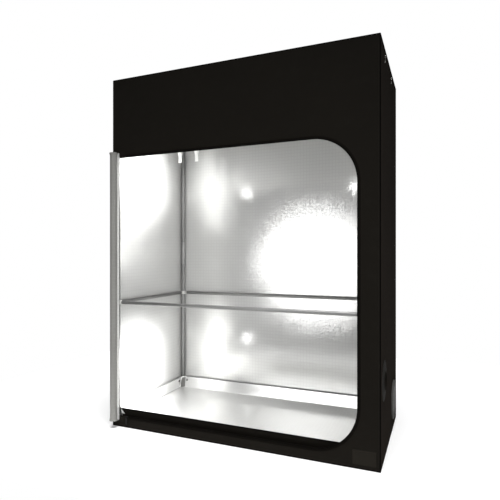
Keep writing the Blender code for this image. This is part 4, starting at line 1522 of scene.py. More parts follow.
@dataclass
class Vent:
    """The passive vent: a bound ring sewn on the wall with a fine net stretched in it."""

    width: float = 12 * MM
    lip: float = 6 * MM
    face: float = 1.0 * MM
    net_pitch: float = 3.0 * MM
    net_inset: float = 7.5 * MM
    yarn: float = 0.55 * MM
    bulge: float = 5.0 * MM
    stitch_inset: float = 3.5 * MM

    def build(self) -> None:
        """Make the ring, the net and the ring's stitches."""
        ring, net = Span.of("vent_ring"), Span.of("vent_mesh")
        middle = ring.middle
        radius = ring.size.y / 2
        bore = radius - self.width
        tilt = basis(Vector((ring.low.x, middle.y, middle.z)), BACKWARDS, UPWARDS, RIGHTWARDS)
        binding = Workpiece.ring("vent_ring_binding", radius, bore, 0.0, ring.size.x, sides=96)
        binding.cut(Workpiece.cylinder("recess", radius - self.lip, -MM, ring.size.x - self.face, sides=96))
        binding.round_edges(1.6 * MM, segments=3, angle=50)
        binding.shape(lambda co: co + UPWARDS * 0.25 * MM * rolling((co.x, co.y, 0), 0.012, 4.0))
        binding.put(tilt).smooth(50)
        binding.dress(Slot.VENT_CLOTH, VENT_BINDING.material(), nodes=("vent_ring",))
        count = round(2 * radius / self.net_pitch)
        mesh = Workpiece.grid("vent_net", (count * self.net_pitch, count * self.net_pitch), (count, count))
        mesh.pick(Pick.FACES, lambda middle, normal: hypot(middle.x, middle.y) > radius - self.net_inset)
        bpy.ops.mesh.delete(type="FACE")
        mesh.leave()
        mesh.shape(lambda co: Vector((co.x, co.y, self.bulge * ease(1 - hypot(co.x, co.y) / bore))))
        mesh.modify("WIREFRAME", thickness=self.yarn, use_even_offset=False)
        lift = Matrix.Translation((0, 0, net.low.x - ring.low.x + self.yarn))
        mesh.put(tilt @ lift).smooth(60)
        mesh.dress(Slot.VENT_CLOTH, NET_YARN.material(), nodes=("vent_mesh",))
        hub = Vector((ring.high.x, middle.y, middle.z))
        rim = circle(hub, BACKWARDS, UPWARDS, radius - self.stitch_inset, 180)
        sew("vent_ring_stitches", rim + rim[:1], RIGHTWARDS, BLACK_YARN, slot=Slot.VENT_CLOTH)


@dataclass
class GatheredSleeve:
    """A short sleeve of cloth whose pleats are drawn together at its mouth."""

    node: str
    out: Vector
    mouth: float
    pleats: int
    seed: float
    sewn_on: str
    folds: float
    reach_share: float = 1.0
    throat: float = 22 * MM
    throat_rows: int = 7
    throat_share: float = 0.985
    cloth: float = 0.9 * MM
    rows: int = 22
    per_pleat: int = 10
    hem_radius: float = 1.5 * MM
    hem_sides: int = 8
    mouth_drop: float = 2.6 * MM
    stitch_inset: float = 2 * MM

    def profile(self, share: float, base: float, height: float) -> tuple[float, float]:
        """Draw the sleeve's side.

        Args:
            share: how far on its way to the mouth a place is.
            base: the radius at the wall.
            height: the mouth's height.

        Returns:
            How wide and how high the sleeve is there.
        """
        swell = sin(share * pi / 2)
        lean = 1 - (1 - share) ** 1.7
        return base + (self.mouth - base) * lean, height * (0.35 * swell + 0.65 * share**1.25)

    def build(self) -> None:
        """Make the sleeve, the hem at its mouth and the stitches at its base."""
        span = Span.of(self.node)
        up = self.out
        side = BACKWARDS if abs(up.x) > 0.5 else RIGHTWARDS
        full = abs(span.size.dot(up))
        height = full * self.reach_share
        base = abs(span.size.dot(side)) / 2
        place = basis(span.middle - up * full / 2, side, up.cross(side), up)
        around = self.pleats * self.per_pleat
        rows = []
        for level in range(self.rows + 1):
            share = level / self.rows
            radius, rise = self.profile(share, base, height - self.mouth_drop)
            row = []
            for step in range(around):
                angle = 2 * pi * step / around
                swing = 0.35 * rolling((cos(angle), sin(angle), share), 0.5, self.seed)
                wave = sin(self.pleats * angle + 2.2 * swing)
                depth = self.folds * ease(share * 1.15) * (0.8 + 0.5 * swing)
                here = radius + depth * wave / 2
                row.append(Vector((here * cos(angle), here * sin(angle), rise)))
            rows.append(row)
        edge = rows[-1]
        for level in range(1, self.throat_rows + 1):
            share = level / self.throat_rows
            open_share = 1 - self.throat_share * ease(share)
            sunk = Vector((0, 0, self.throat * share))
            drawn = Matrix.Diagonal((open_share, open_share, 1))
            rows.append([drawn @ point - sunk for point in edge])
        piece = Workpiece.rows(f"{self.node}_cloth", rows, around=True, lengths=(2 * pi * base, base))
        piece.thicken(self.cloth, offset=0.0).put(place).smooth(70)
        black = OuterCloth(f"{self.node}_black")
        piece.dress(Slot.BLACK_CLOTH, black.material(), nodes=(self.node,))
        self.build_hem(place, edge)
        seam = circle(UPWARDS * MM, RIGHTWARDS, BACKWARDS, base - self.stitch_inset, 180)
        ring = [place @ point for point in seam + seam[:1]]
        sew(f"{self.node}_stitches", ring, up, BLACK_YARN)

    def build_hem(self, place: Matrix, edge: Sequence[Vector]) -> None:
        """Roll the hem round the mouth, puckered as the cloth is.

        Args:
            place: the sleeve's place on the tent.
            edge: the mouth's points, in the sleeve's own drawing.
        """
        rows = []
        for point in edge:
            away = Vector((point.x, point.y, 0)).normalized()
            rows.append(circle(point, away, UPWARDS, self.hem_radius, self.hem_sides))
        hem = Workpiece.rows(f"{self.node}_hem", rows, around=True, over=True)
        hem.edit().face_outwards().put(place).smooth(80)
        hem.dress(Slot.BLACK_CLOTH, OuterCloth(f"{self.node}_hem_black").material())


@dataclass
class Cage:
    """The frame: posts, joiners, bars, corners, clips and hooks."""

    corners: tuple[str, ...] = ("front_left", "front_right", "rear_right", "rear_left")
    post_bore: float = 11.5 * MM
    bar_bore: float = 7.2 * MM
    spigot: float = 35 * MM
    joiner_fit: float = 0.4 * MM
    plug_fit: float = 0.3 * MM
    clip_wall: float = 3.4 * MM
    clip_height: float = 18 * MM
    clip_arm: float = 26 * MM
    corner_shoulders: tuple[float, float] = (22 * MM, 30 * MM)
    hook_wall: float = 3 * MM
    hook_width: float = 18 * MM
    stem_width: float = 20 * MM
    stem_wall: float = 3.8 * MM
    stem_foot: float = 1.5 * MM
    stem_top: float = 4 * MM
    hook_shoulder: float = 6 * MM

    def __post_init__(self) -> None:
        """Read the tubes' sizes from the frame."""
        post = Span.of("lower_post_front_left")
        bar = Span.of("ring_bar_front")
        self.post_radius = post.size.x / 2
        self.bar_radius = bar.size.z / 2
        self.ring_height = bar.middle.z

    def post_axis(self, corner: str) -> Vector:
        """The middle of a corner's post, at the ground."""
        middle = Span.of(f"lower_post_{corner}").middle
        return Vector((middle.x, middle.y, 0))

    def turn(self, corner: str) -> Matrix:
        """The quarter turns from the front left corner to another."""
        return Matrix.Rotation(self.corners.index(corner) * pi / 2, 4, "Z")

    def build(self) -> None:
        """Make the whole cage."""
        self.build_tubes()
        self.build_joiners()
        self.build_connectors()
        self.build_clips()
        self.build_hooks()

    def build_tube(self, node: str, along: Axis, radius: float, bore: float) -> None:
        """Make one tube with rounded rims, in the place of its node.

        Args:
            node: the tube's node.
            along: the way that it runs.
            radius: its outer radius.
            bore: its inner radius.
        """
        span = Span.of(node)
        length = span.size[along.value]
        piece = Workpiece.ring(f"{node}_tube", radius, bore, -length / 2, length / 2, sides=40)
        piece.round_edges(0.3 * MM, segments=2, angle=60)
        turn = Matrix.Rotation(0 if along is Axis.Z else pi / 2, 4, "Y" if along is Axis.X else "X")
        piece.put(Matrix.Translation(span.middle) @ turn).smooth(40)
        steel = TubeSteel(f"tube_steel_{along.name.lower()}", along)
        piece.dress(Slot.STEEL, steel.material(), nodes=(node,))

    def build_tubes(self) -> None:
        """Posts and bars."""
        for corner in self.corners:
            for half in ("lower", "upper"):
                self.build_tube(f"{half}_post_{corner}", Axis.Z, self.post_radius, self.post_bore)
        bars = [(f"{level}_bar_{side}", along) for level in ("bottom", "top", "ring")
                for side, along in (("front", Axis.X), ("rear", Axis.X), ("left", Axis.Y), ("right", Axis.Y))]
        bars += [("ceiling_bar_front", Axis.X), ("ceiling_bar_rear", Axis.X)]
        for node, along in bars:
            self.build_tube(node, along, self.bar_radius, self.bar_bore)

    def build_joiners(self) -> None:
        """The slimmer sleeves at half height, with a shoulder at each end."""
        span = Span.of("post_joiner_front_left")
        half, sleeve = span.size.z / 2, span.size.x / 2
        shoulder = half - self.spigot
        pattern = Workpiece.cylinder("joiner", sleeve, -shoulder, shoulder, sides=40)
        for sign in (1, -1):
            pattern.pick(Pick.FACES, lambda middle, normal, s=sign: normal.z * s > 0.9)
            bpy.ops.mesh.inset(thickness=sleeve - self.post_bore + self.joiner_fit)
            bpy.ops.mesh.extrude_region_move(TRANSFORM_OT_translate={"value": (0, 0, sign * self.spigot)})
            pattern.leave()
        pattern.round_edges(0.4 * MM).smooth(40)
        steel = TubeSteel("joiner_steel_z", Axis.Z, tone=(0.36, 0.36, 0.355), roughness=0.52)
        for corner in self.corners:
            node = f"post_joiner_{corner}"
            piece = pattern.copy(f"{node}_sleeve", Matrix.Translation(Span.of(node).middle))
            piece.dress(Slot.JOINER_STEEL, steel.material(), nodes=(node,))
        pattern.discard()

    def stepped(self, name: str, along: Axis, root: float, radius: float, shoulder: float,
                bore: float) -> Workpiece:
        """Make a round arm with a thinner spigot that plugs into a tube.

        Args:
            name: the arm's name.
            along: the way that it points.
            root: where it starts.
            radius: its radius.
            shoulder: where the spigot starts.
            bore: the tube's inner radius.

        Returns:
            The arm.
        """
        tip = along.at(1.0)
        piece = Workpiece.cylinder(name, radius, root, shoulder, sides=40, along=along)
        piece.pick(Pick.FACES, lambda middle, normal: normal.dot(tip) > 0.9)
        bpy.ops.mesh.inset(thickness=radius - bore + self.plug_fit)
        bpy.ops.mesh.extrude_region_move(TRANSFORM_OT_translate={"value": along.at(self.spigot)})
        return piece.leave()

    def arms(self, root: float, shoulder: float) -> list[Workpiece]:
        """The two level arms of a corner or a clip."""
        return [self.stepped("arm", along, root, self.bar_radius, shoulder, self.bar_bore)
                for along in (Axis.X, Axis.Y)]

    def build_connectors(self) -> None:
        """The three-way corners on the ground and under the roof."""
        upright, level_arm = self.corner_shoulders
        hub = self.stepped("corner", Axis.Z, -self.post_radius, self.post_radius, upright, self.post_bore)
        hub.unite(*self.arms(0.0, level_arm)).round_edges(0.7 * MM, segments=2, angle=50).smooth(45)
        foot_z = Span.of("bottom_bar_front").middle.z
        head_z = Span.of("top_bar_front").middle.z
        for corner in self.corners:
            spot = self.post_axis(corner)
            foot = Matrix.Translation((spot.x, spot.y, foot_z)) @ self.turn(corner)
            over = Matrix.Rotation(pi / 2, 4, "Z") @ Matrix.Rotation(pi, 4, "X")
            head = Matrix.Translation((spot.x, spot.y, head_z)) @ self.turn(corner) @ over
            for level, matrix in (("bottom", foot), ("top", head)):
                node = f"{level}_corner_{corner}"
                piece = hub.copy(f"{node}_moulding", matrix)
                piece.dress(Slot.BLACK_PLASTIC, BLACK_PLASTIC.material(), nodes=(node,))
        hub.discard()

    def arc_bar(self, name: str, inner: float, outer: float, height: float, first: float,
                sweep: float) -> Workpiece:
        """Make part of a ring about Z.

        Args:
            name: the piece's name.
            inner: the ring's inner radius.
            outer: its outer radius.
            height: its height.
            first: the angle that it starts at, in degrees.
            sweep: how far it goes round, in degrees.

        Returns:
            The part.
        """
        clear_selection()
        middle = (inner + outer) / 2
        bpy.ops.mesh.primitive_plane_add(size=1, location=(middle, 0, 0), rotation=(pi / 2, 0, 0))
        bpy.context.active_object.scale = (outer - inner, height, 1)
        piece = Workpiece(name).settle()
        piece.pick(Pick.FACES, lambda middle, normal: True)
        bpy.ops.mesh.spin(steps=40, angle=radians(sweep), center=(0, 0, 0), axis=(0, 0, 1))
        bpy.ops.mesh.select_all(action="SELECT")
        bpy.ops.mesh.remove_doubles(threshold=0.00001)
        piece.face_outwards()
        low = degrees(min(atan2(vert.co.y, vert.co.x) for vert in piece.obj.data.vertices))
        return piece.put(Matrix.Rotation(radians(first - low), 4, "Z"))

    def build_clips(self) -> None:
        """The snap-on clips that carry the ring of bars."""
        bore = self.post_radius + self.plug_fit
        wrap = self.arc_bar("clip", bore, bore + self.clip_wall, self.clip_height, -47, 184)
        arms = self.arms(bore + 0.3 * MM, self.clip_arm)
        wrap.unite(*arms).round_edges(0.6 * MM, segments=2, angle=50).smooth(45)
        for corner in self.corners:
            spot = self.post_axis(corner)
            node = f"ring_clip_{corner}"
            matrix = Matrix.Translation((spot.x, spot.y, self.ring_height)) @ self.turn(corner)
            piece = wrap.copy(f"{node}_moulding", matrix)
            piece.dress(Slot.GREY_PLASTIC, GREY_PLASTIC.material(), nodes=(node,))
        wrap.discard()

    def build_hooks(self) -> None:
        """The hooks that hang the ceiling bars from the side top bars."""
        bore = self.bar_radius + self.plug_fit
        crook = self.arc_bar("hook", bore, bore + self.hook_wall, self.hook_width, -60, 260)
        crook.put(Matrix.Rotation(pi / 2, 4, "X"))
        inner = bore + 0.4 * MM
        outer = inner + self.stem_wall
        half = self.stem_width / 2
        drop = Span.of("top_bar_left").middle.z - Span.of("ceiling_bar_rear").middle.z
        low = -(drop + self.bar_radius + self.stem_foot)
        stem = Workpiece.block("stem", (inner, -half, low), (outer, half, self.stem_top))
        root = (inner + outer) / 2
        arm = self.stepped("arm", Axis.X, root, self.bar_radius, outer + self.hook_shoulder, self.bar_bore)
        arm.put(Matrix.Translation((0, 0, -drop)))
        crook.unite(stem, arm).round_edges(0.6 * MM, segments=2, angle=50).smooth(45)
        for row in ("front", "rear"):
            bar = Span.of(f"ceiling_bar_{row}").middle
            for side, turned in (("left", 0.0), ("right", pi)):
                node = f"ceiling_hook_{row}_{side}"
                rail = Span.of(f"top_bar_{side}").middle
                matrix = Matrix.Translation((rail.x, bar.y, rail.z)) @ Matrix.Rotation(turned, 4, "Z")
                piece = crook.copy(f"{node}_moulding", matrix)
                piece.dress(Slot.BLACK_PLASTIC, BLACK_PLASTIC.material(), nodes=(node,))
        crook.discard()


@dataclass
class SpillTray:
    """The removable tray: reflecting inside, black outside, with a bound rim and folded corners."""

    cloth: float = 1.2 * MM
    floor_cut: float = 0.024
    rim_cut: float = 0.017
    floor_inset_y: float = 0.030
    hem_height: float = 8 * MM
    hem_thickness: float = 2.2 * MM
    bend: float = 4 * MM
    ear_width: tuple[float, float] = (14 * MM, 10 * MM)
    ear_cloth: float = 1.6 * MM
    fold_edge: float = 0.567
    fold_width: float = 18 * MM
    fold_from: float = 0.52
    fold_to: float = 0.90
    rim_half_x: float = 0.584
    rim_inset: float = 0.8 * MM
    side_cells: tuple[int, ...] = (18, 3, 36, 3) * 2
    floor_shares: tuple[float, ...] = (0.04, 0.2, 0.4, 0.6, 0.78, 0.9, 0.96)
    ear_shares: tuple[float, float] = (0.06, 0.92)

    def __post_init__(self) -> None:
        """Read the tray's sizes from the frame."""
        span = Span.of("spill_tray")
        self.low, self.high = span.low.z, span.high.z
        self.height = self.high - self.low
        post = Span.of("lower_post_rear_right").middle
        self.floor_half = (post.x, Span.of("back_wall").high.y - self.floor_inset_y)
        self.rim_half = (self.rim_half_x, span.high.y - self.rim_inset)

    def half(self, share: float) -> tuple[float, ...]:
        """Half the tray's length and depth at a share of its height."""
        return tuple(floor + (rim - floor) * share for floor, rim in zip(self.floor_half, self.rim_half))

    def corner_cut(self, share: float) -> float:
        """How much is cut off each corner at a share of the tray's height."""
        return self.floor_cut + (self.rim_cut - self.floor_cut) * share

    def outline(self, share: float, inwards: float) -> list[tuple[float, float]]:
        """Draw the tray's outline, with points all along its eight sides.

        Args:
            share: the share of the tray's height that it's drawn at.
            inwards: how far inside the cloth it runs.

        Returns:
            The outline's points.
        """
        half_x, half_y = [side - inwards for side in self.half(share)]
        cut = max(self.corner_cut(share) - (2 - sqrt(2)) * inwards, 2 * MM)
        near_x, near_y = half_x - cut, half_y - cut
        corners = [(half_x, -near_y), (half_x, near_y), (near_x, half_y), (-near_x, half_y),
                   (-half_x, near_y), (-half_x, -near_y), (-near_x, -half_y), (near_x, -half_y)]
        points = []
        for start, end, cells in zip(corners, corners[1:] + corners[:1], self.side_cells):
            points += [tuple(Vector(start).lerp(Vector(end), step / cells)) for step in range(cells)]
        return points

    def tub_rows(self) -> list[list[Vector]]:
        """Draw the tub from the middle of its floor to its rim.

        Returns:
            Its rows of points.
        """
        rows = []
        for shrink in self.floor_shares:
            inner = [(x * shrink, y * shrink) for x, y in self.outline(0.0, 0.0)]
            rows.append([Vector((x, y, self.low + self.floor_wave(x, y))) for x, y in inner])
        for step in range(5):
            angle = pi / 2 * step / 4
            inwards = self.bend * (1 - sin(angle))
            rise = self.bend * (1 - cos(angle))
            rows.append([Vector((x, y, self.low + rise)) for x, y in self.outline(0.0, inwards)])
        for step in range(1, 9):
            share = (self.bend + (self.height - self.bend) * step / 8) / self.height
            rows.append([Vector(self.wall_wave(x, y, share)) for x, y in self.outline(share, 0.0)])
        return rows

    def build(self) -> None:
        """Make the tub, its hem, its stitches and its eyelets."""
        piece = Workpiece.rows("spill_tray_cloth", self.tub_rows(), around=True).edit()
        bpy.ops.mesh.select_mode(type="EDGE")
        bpy.ops.mesh.select_all(action="DESELECT")
        cage = bmesh.from_edit_mesh(piece.obj.data)
        for edge in cage.edges:
            middle = (edge.verts[0].co + edge.verts[1].co) / 2
            edge.select_set(edge.is_boundary and middle.z < self.low + self.height / 2)
        bmesh.update_edit_mesh(piece.obj.data)
        bpy.ops.mesh.edge_face_add()
        piece.leave()
        if piece.obj.data.polygons[-1].normal.z <= 0:
            piece.obj.data.flip_normals()
        for finish in (TRAY_FOIL, OuterCloth("tray_black")):
            piece.obj.data.materials.append(finish.material())
        piece.thicken(self.cloth, offset=1.0, back=1).smooth(40)
        piece.dress(Slot.SILVER_CLOTH, nodes=("spill_tray",), body=Body.TRAY)
        hem = self.build_hem()
        ears = [self.build_ear(side, row) for side in (-1, 1) for row in (-1, 1)] + [self.build_fold()]
        self.build_creases()
        self.build_eyelets()

    def build_ear(self, side: int, row: int) -> Workpiece:
        """Fold the spare cloth of one corner inwards, in a grey that paints the shade of the fold.

        Args:
            side: -1 on the left, 1 on the right.
            row: -1 at the front, 1 at the rear.

        Returns:
            The ear, which lies against the corner's slanted wall.
        """
        away = Vector((side, row, 0)).normalized()
        across = Vector((side, -row, 0)).normalized()
        first, last = self.ear_shares
        steps, columns = 8, 6
        rows = []
        for step in range(steps + 1):
            share = first + (last - first) * step / steps
            half_x, half_y = self.half(share)
            cut = self.corner_cut(share)
            z = self.low + self.height * share
            middle = Vector((side * (half_x - cut / 2), row * (half_y - cut / 2), z))
            half = self.ear_width[0] + (self.ear_width[1] - self.ear_width[0]) * share
            points = []
            for column in range(columns + 1):
                spread = 2 * column / columns - 1
                bow = self.ear_cloth * (0.9 + 0.9 * (1 - spread**2))
                points.append(middle + across * half * spread - away * bow)
            rows.append(points)
        name = f"tray_ear_{'front' if row < 0 else 'rear'}_{'left' if side < 0 else 'right'}"
        ear = Workpiece.rows(name, rows)
        ear.thicken(self.ear_cloth, offset=0.0).smooth(50)
        # The ear's grey cloth paints the shade that falls in the folded corner.
        return ear.dress(Slot.BLACK_CLOTH, EAR_CLOTH_PAINTED_SHADE.material(), body=Body.TRAY)

    def build_fold(self) -> Workpiece:
        """Fold the tip of cloth at the front left corner that shows its silver face outside.

        Returns:
            The tip, a thin triangle that lies on the front wall's outside.
        """
        steps, columns = 5, 4
        rows = []
        for step in range(steps + 1):
            rise = step / steps
            share = self.fold_from + (self.fold_to - self.fold_from) * rise
            y = -self.half(share)[1] - self.cloth - self.hem_thickness / 2
            z = self.low + self.height * share
            width = self.fold_width + (MM - self.fold_width) * rise
            rows.append([Vector((-self.fold_edge + width * column / columns, y, z))
                         for column in range(columns + 1)])
        tip = Workpiece.rows("tray_fold_front_left", rows)
        tip.thicken(self.ear_cloth / 2, offset=0.0).smooth(50)
        return tip.dress(Slot.SILVER_CLOTH, TIP_CLOTH.material(), body=Body.TRAY)

    def floor_wave(self, x: float, y: float) -> float:
        """How far the tray's floor lifts off the bars at a place."""
        inset = min(self.floor_half[0] - abs(x), self.floor_half[1] - abs(y))
        return 1.2 * MM * ease(inset / 0.08) * (0.8 + rolling((x, y, 0.0), 0.16, 6.0))

    def wall_wave(self, x: float, y: float, share: float) -> Place:
        """Work out where a point of the wall lies, a little out of true towards the rim.

        Args:
            x: where it is across the tray.
            y: where it is along the tray's depth.
            share: the share of the wall's height that it is at.

        Returns:
            Its place.
        """
        lean = abs(0.9 * MM * share * rolling((x, y, share), 0.12, 8.0))
        z = self.low + (self.height - MM) * share
        if abs(x / self.floor_half[0]) > abs(y / self.floor_half[1]):
            return (x - copysign(lean, x), y, z)
        return (x, y - copysign(lean, y), z)

    def build_hem(self) -> Workpiece:
        """Fold a tape over the rim.

        Returns:
            The hem.
        """
        half = self.hem_thickness / 2
        low, top = -self.hem_height, -0.8 * MM
        rounded = low + 0.6 * MM
        section = ((0.0, low), (half, rounded), (half, top), (0.0, 0.0), (-half, top), (-half, rounded))
        rows = []
        for out, rise in section:
            outline = self.outline(1.0 + rise / self.height, -out - self.cloth * 0.5)
            rows.append([Vector((x, y, self.high + rise)) for x, y in outline])
        hem = Workpiece.rows("spill_tray_hem", rows, around=True, over=True, lengths=(3.4, 0.02))
        hem.edit().face_outwards().smooth(50)
        hem.dress(Slot.BLACK_CLOTH, BINDING.material(), SILVER_BINDING.material(), body=Body.TRAY)
        for face in hem.obj.data.polygons:
            face.material_index = 1 if abs(face.center.x) > self.rim_half[0] - self.rim_cut else 0
        return hem

    def build_creases(self) -> None:
        """The sewn creases where the tray's end walls rise from its floor."""
        reach = self.floor_half[1] - self.floor_cut
        pattern = Workpiece.cylinder("crease", 1.1 * MM, -reach, reach, sides=8, along=Axis.Y)
        for side, sign in (("left", -1), ("right", 1)):
            spot = Vector((sign * (self.floor_half[0] - 2.2 * MM), 0, self.low + 2.2 * MM))
            crease = pattern.copy(f"tray_crease_{side}", Matrix.Translation(spot)).smooth(60)
            crease.dress(Slot.SILVER_CLOTH, CREASE_YARN.material(), body=Body.TRAY)
        pattern.discard()

    def build_eyelets(self) -> None:
        """An eyelet in the rear wall and one in the left wall, near the rear left corner."""
        pattern = eyelet_pattern(6 * MM, 3 * MM, 1.8 * MM)
        drop = 18 * MM
        rise = self.high - drop
        half_x, half_y = self.half(1 - drop / self.height)
        back = half_y - 1.4 * MM
        lean = atan2(self.rim_half[1] - self.floor_half[1], self.height)
        quarter = Matrix.Rotation(pi / 2, 4, "Y")
        rear = Matrix.Translation((-0.555, back, rise)) @ Matrix.Rotation(pi / 2 - lean, 4, "X")
        left = Matrix.Translation((1.8 * MM - half_x, back - 0.040, rise)) @ quarter
        for name, matrix in (("rear", rear), ("left", left)):
            eyelet = pattern.copy(f"tray_eyelet_{name}", matrix)
            eyelet.dress(Slot.ZIP_METAL, PaintedMetal("black_eyelet", wear=0.8).material(), body=Body.TRAY)
        pattern.discard()


@dataclass
class Strap:
    """A loop of white webbing over the rear ceiling bar, its legs sewn together at the bottom."""

    side: str
    body: Body
    web: float = 1.4 * MM
    tab: float = 0.030
    taper: float = 0.022
    columns: int = 8

    def centreline(self, radius: float, length: float) -> list[tuple[float, float]]:
        """Draw the webbing's middle as seen from the side.

        Args:
            radius: how far it lies from the bar's middle.
            length: how far it hangs below that.

        Returns:
            Its points, from the tab's end up, over the bar and down again.
        """
        tab_top, taper_top = self.tab - length, self.tab - length + self.taper
        half = self.web / 2 + 0.05 * MM
        leg = [(half, -length), (half, -length + self.tab * 0.5), (half, tab_top)]
        for share in (step / 6 for step in range(1, 7)):
            leg.append((half + (radius - half) * ease(share), tab_top + (taper_top - tab_top) * share))
        leg += [(radius, taper_top * (1 - step / 8)) for step in range(1, 8)]
        angles = [pi * step / 16 for step in range(17)]
        crown = [(radius * cos(angle), radius * sin(angle)) for angle in angles]
        return leg + crown + [(-y, z) for y, z in reversed(leg)]

    def build(self) -> None:
        """Make the webbing and the box stitch that closes it."""
        node = f"hanging_strap_{self.side}"
        span = Span.of(node)
        bar = Span.of("ceiling_bar_rear")
        radius = bar.size.z / 2 + 0.3 * MM + self.web / 2
        length = bar.middle.z - span.low.z
        line = self.centreline(radius, length)
        left, right = span.low.x, span.high.x
        rows, run = [], 0.0
        for index, (y, z) in enumerate(line):
            if index:
                run += hypot(y - line[index - 1][0], z - line[index - 1][1])
            bow = 0.5 * MM * rolling((span.middle.x, 0.0, z), 0.09, 3.0) * ease(-z / 0.05)
            row = []
            for column in range(self.columns + 1):
                x = left + (right - left) * column / self.columns
                row.append(Vector((x, bar.middle.y + y + bow, bar.middle.z + z)))
            rows.append(row)
        piece = Workpiece.rows(f"{node}_webbing", rows, lengths=(right - left, run))
        piece.thicken(self.web, offset=0.0).round_edges(0.35 * MM, segments=2, angle=60).smooth(50)
        piece.dress(Slot.WHITE_WEBBING, WEBBING.material(), nodes=(node,), body=self.body)
        self.build_box_stitch(span, bar.middle.y)

    def build_box_stitch(self, span: Span, middle_y: float) -> None:
        """Sew a box with a cross in it on the front of the tab.

        Args:
            span: the strap's box.
            middle_y: the bar's place.
        """
        inset = 3 * MM
        low, high = span.low.z + 4 * MM, span.low.z + self.tab - 5 * MM
        left, right = span.low.x + inset, span.high.x - inset
        depth = middle_y - self.web - 0.1 * MM
        corners = [(left, low), (right, low), (right, high), (left, high), (left, low), (right, high)]
        path = [Vector((x, depth, z)) for x, z in corners]
        sew(f"strap_stitches_{self.side}", path, FORWARDS, WHITE_YARN, 2.2 * MM, 0.3 * MM, Slot.WHITE_WEBBING,
            self.body)


def finish_zip_metal() -> None:
    """Give the slider and its pull, whose shapes stay, their worn black paint."""
    paint = PaintedMetal("slider_paint").material()
    for node in ("zip_slider", "zip_pull"):
        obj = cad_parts[node]
        for slot in obj.material_slots:
            slot.material = paint


class LampKind(Enum):
    """The kinds of light that the studio has."""

    SUN = "SUN"
    PANEL = "RECTANGLE"
    DISC = "DISK"
    BULB = "POINT"


@dataclass(frozen=True)
class Lamp:
    """One light of the studio, unseen by the camera.

    The size is a sun's angle in degrees, a bulb's radius, or the width and height of a panel or disc.
    """

    name: str
    kind: LampKind
    spot: Place
    aim: Place
    size: tuple[float, float]
    power: float
    spread: float = 180.0
    spares: str = ""

    def hang(self) -> None:
        """Put the lamp up."""
        flat = self.kind in (LampKind.PANEL, LampKind.DISC)
        data = bpy.data.lights.new(self.name, "AREA" if flat else self.kind.value)
        if flat:
            data.shape = self.kind.value
            data.size = self.size[0]
            if self.kind is LampKind.PANEL:
                data.size_y = self.size[1]
            data.spread = radians(self.spread)
        elif self.kind is LampKind.SUN:
            data.angle = radians(self.size[0])
        else:
            data.shadow_soft_size = self.size[0]
        data.energy = self.power
        lamp = bpy.data.objects.new(self.name, data)
        lamp.location = self.spot
        lamp.rotation_euler = (Vector(self.aim) - Vector(self.spot)).to_track_quat("-Z", "Y").to_euler()
        lamp.visible_camera = False
        if self.spares:
            lamp.light_linking.receiver_collection = bpy.data.collections[self.spares]
        bpy.context.scene.collection.objects.link(lamp)


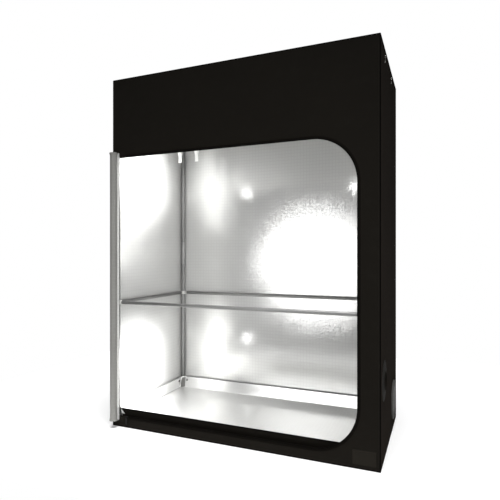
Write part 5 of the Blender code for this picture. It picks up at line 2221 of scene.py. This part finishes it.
@dataclass
class Studio:
    """The pale floor, the lights and the camera."""

    lens: float = 32.62
    camera_place: Place = (0.7982, -1.9977, 0.7949)
    camera_yaw: float = 22.405
    shift: tuple[float, float] = (-0.0060, 0.0068)
    spared: str = "spared_by_the_washes"
    floor_low: tuple[float, float] = (-1.7, -0.85)
    floor_high: tuple[float, float] = (1.7, 1.6)
    lamps: tuple[Lamp, ...] = (
        Lamp("sky", LampKind.SUN, (0.5, -0.9, 5.0), (0.0, 0.0, 0.0), (28.0, 0.0), 3.3),
        Lamp("softbox", LampKind.DISC, (-0.385, -2.0, 0.660), (0.05, 0.3, 0.70), (1.23, 1.23), 12.6),
        Lamp("right_front", LampKind.PANEL, (1.5, -1.5, 0.95), (-0.6, 0.0, 0.8), (0.7, 0.7), 5.2,
             spread=90.0),
        Lamp("upper_left_wash", LampKind.DISC, (-0.15, -0.13, 1.195), (-0.6, -0.12, 1.20), (0.09, 0.09), 2.45,
             spread=75.0, spares=spared),
        Lamp("lower_left_wash", LampKind.DISC, (-0.15, -0.15, 0.25), (-0.6, -0.15, 0.20), (0.08, 0.08), 2.3,
             spread=75.0, spares=spared),
        Lamp("upper_left_fill", LampKind.DISC, (-0.15, -0.15, 1.19), (-0.6, -0.15, 1.19), (0.25, 0.25), 0.50,
             spread=130.0, spares=spared),
        Lamp("lower_left_fill", LampKind.DISC, (-0.15, -0.15, 0.25), (-0.6, -0.15, 0.20), (0.25, 0.25), 0.86,
             spread=130.0, spares=spared),
        Lamp("upper_left_bulb", LampKind.BULB, (-0.381, -0.15, 1.194), (0, 0, 0), (0.022, 0.0), 0.15),
        Lamp("lower_left_bulb", LampKind.BULB, (-0.381, -0.15, 0.236), (0, 0, 0), (0.022, 0.0), 0.15),
        Lamp("upper_right_bulb", LampKind.BULB, (0.332, -0.15, 1.194), (0, 0, 0), (0.022, 0.0), 0.20),
    )
    room: float = 0.13

    def build(self) -> None:
        """Set the studio up."""
        self.lay_floor()
        self.light_room()
        bpy.data.collections.new(self.spared)
        for lamp in self.lamps:
            lamp.hang()
        self.set_camera()

    def spare(self, piece: Workpiece) -> None:
        """Keep the lamps that wash the lining off a piece.

        Args:
            piece: a piece that stands outside the tent.
        """
        spared = bpy.data.collections[self.spared]
        spared.objects.link(piece.obj)
        for row in spared.collection_objects:
            row.light_linking.link_state = "EXCLUDE"

    def lay_floor(self) -> None:
        """A wide pale floor."""
        clear_selection()
        sides = list(zip(self.floor_low, self.floor_high))
        middle = [(low + high) / 2 for low, high in sides]
        bpy.ops.mesh.primitive_plane_add(size=1, location=(*middle, -0.5 * MM))
        bpy.context.active_object.scale = (*(high - low for low, high in sides), 1)
        floor = Workpiece("studio_floor").settle()
        mix = Recipe("pale_floor", roughness=0.9, specular_ior_level=0.2, emission_strength=0.12,
                     emission_color=(1, 1, 1, 1))
        whole, *_ = mix.place()
        colour = mix.mix(mix.cloud(whole, 0.8, detail=2), (0.90, 0.90, 0.90), (0.88, 0.88, 0.88))
        floor.obj.data.materials.append(mix.finish(colour))

    def light_room(self) -> None:
        """Pale walls all round, dimmer than they look to the camera."""
        world = bpy.data.worlds.new("studio")
        bpy.context.scene.world = world
        world.use_nodes = True
        tree = world.node_tree
        tree.nodes.clear()
        kinds = ("OutputWorld", "MixShader", "LightPath", "Background", "Background")
        output, mixer, path, dim, bright = [tree.nodes.new(f"ShaderNode{kind}") for kind in kinds]
        dim.inputs["Color"].default_value = (self.room, self.room, self.room, 1)
        bright.inputs["Color"].default_value = (1.0, 1.0, 1.0, 1)
        for number, socket in enumerate((path.outputs["Is Camera Ray"], dim.outputs[0], bright.outputs[0])):
            tree.links.new(socket, mixer.inputs[number])
        tree.links.new(mixer.outputs[0], output.inputs["Surface"])
        bpy.context.scene.view_settings.view_transform = "Standard"

    def set_camera(self) -> None:
        """The camera at the photograph's angle."""
        data = bpy.data.cameras.new("camera")
        data.lens = self.lens
        data.sensor_width = 36.0
        data.shift_x, data.shift_y = self.shift
        camera = bpy.data.objects.new("camera", data)
        camera.location = self.camera_place
        camera.rotation_euler = (pi / 2, 0, radians(self.camera_yaw))
        bpy.context.scene.collection.objects.link(camera)
        bpy.context.scene.camera = camera


def main() -> None:
    """Build the tent's looks and the studio round it."""
    logging.basicConfig(level=logging.INFO, format="%(message)s")
    doorway = Doorway()
    studio = Studio()
    studio.build()
    Skin(doorway).build()
    Zip(doorway).build()
    DoorRoll().build(studio)
    Vent().build()
    GatheredSleeve("cable_sleeve", RIGHTWARDS, mouth=0.034, pleats=28, seed=2.0, sewn_on="right_wall_cloth",
                   folds=2.0 * MM, reach_share=0.5).build()
    GatheredSleeve("duct_sleeve", UPWARDS, mouth=0.048, pleats=26, seed=5.0, sewn_on="roof_panel_cloth",
                   folds=4.5 * MM).build()
    Cage().build()
    SpillTray().build()
    Strap("left", Body.LEFT_STRAP).build()
    Strap("right", Body.RIGHT_STRAP).build()
    finish_zip_metal()


if __name__ == "__main__":
    main()
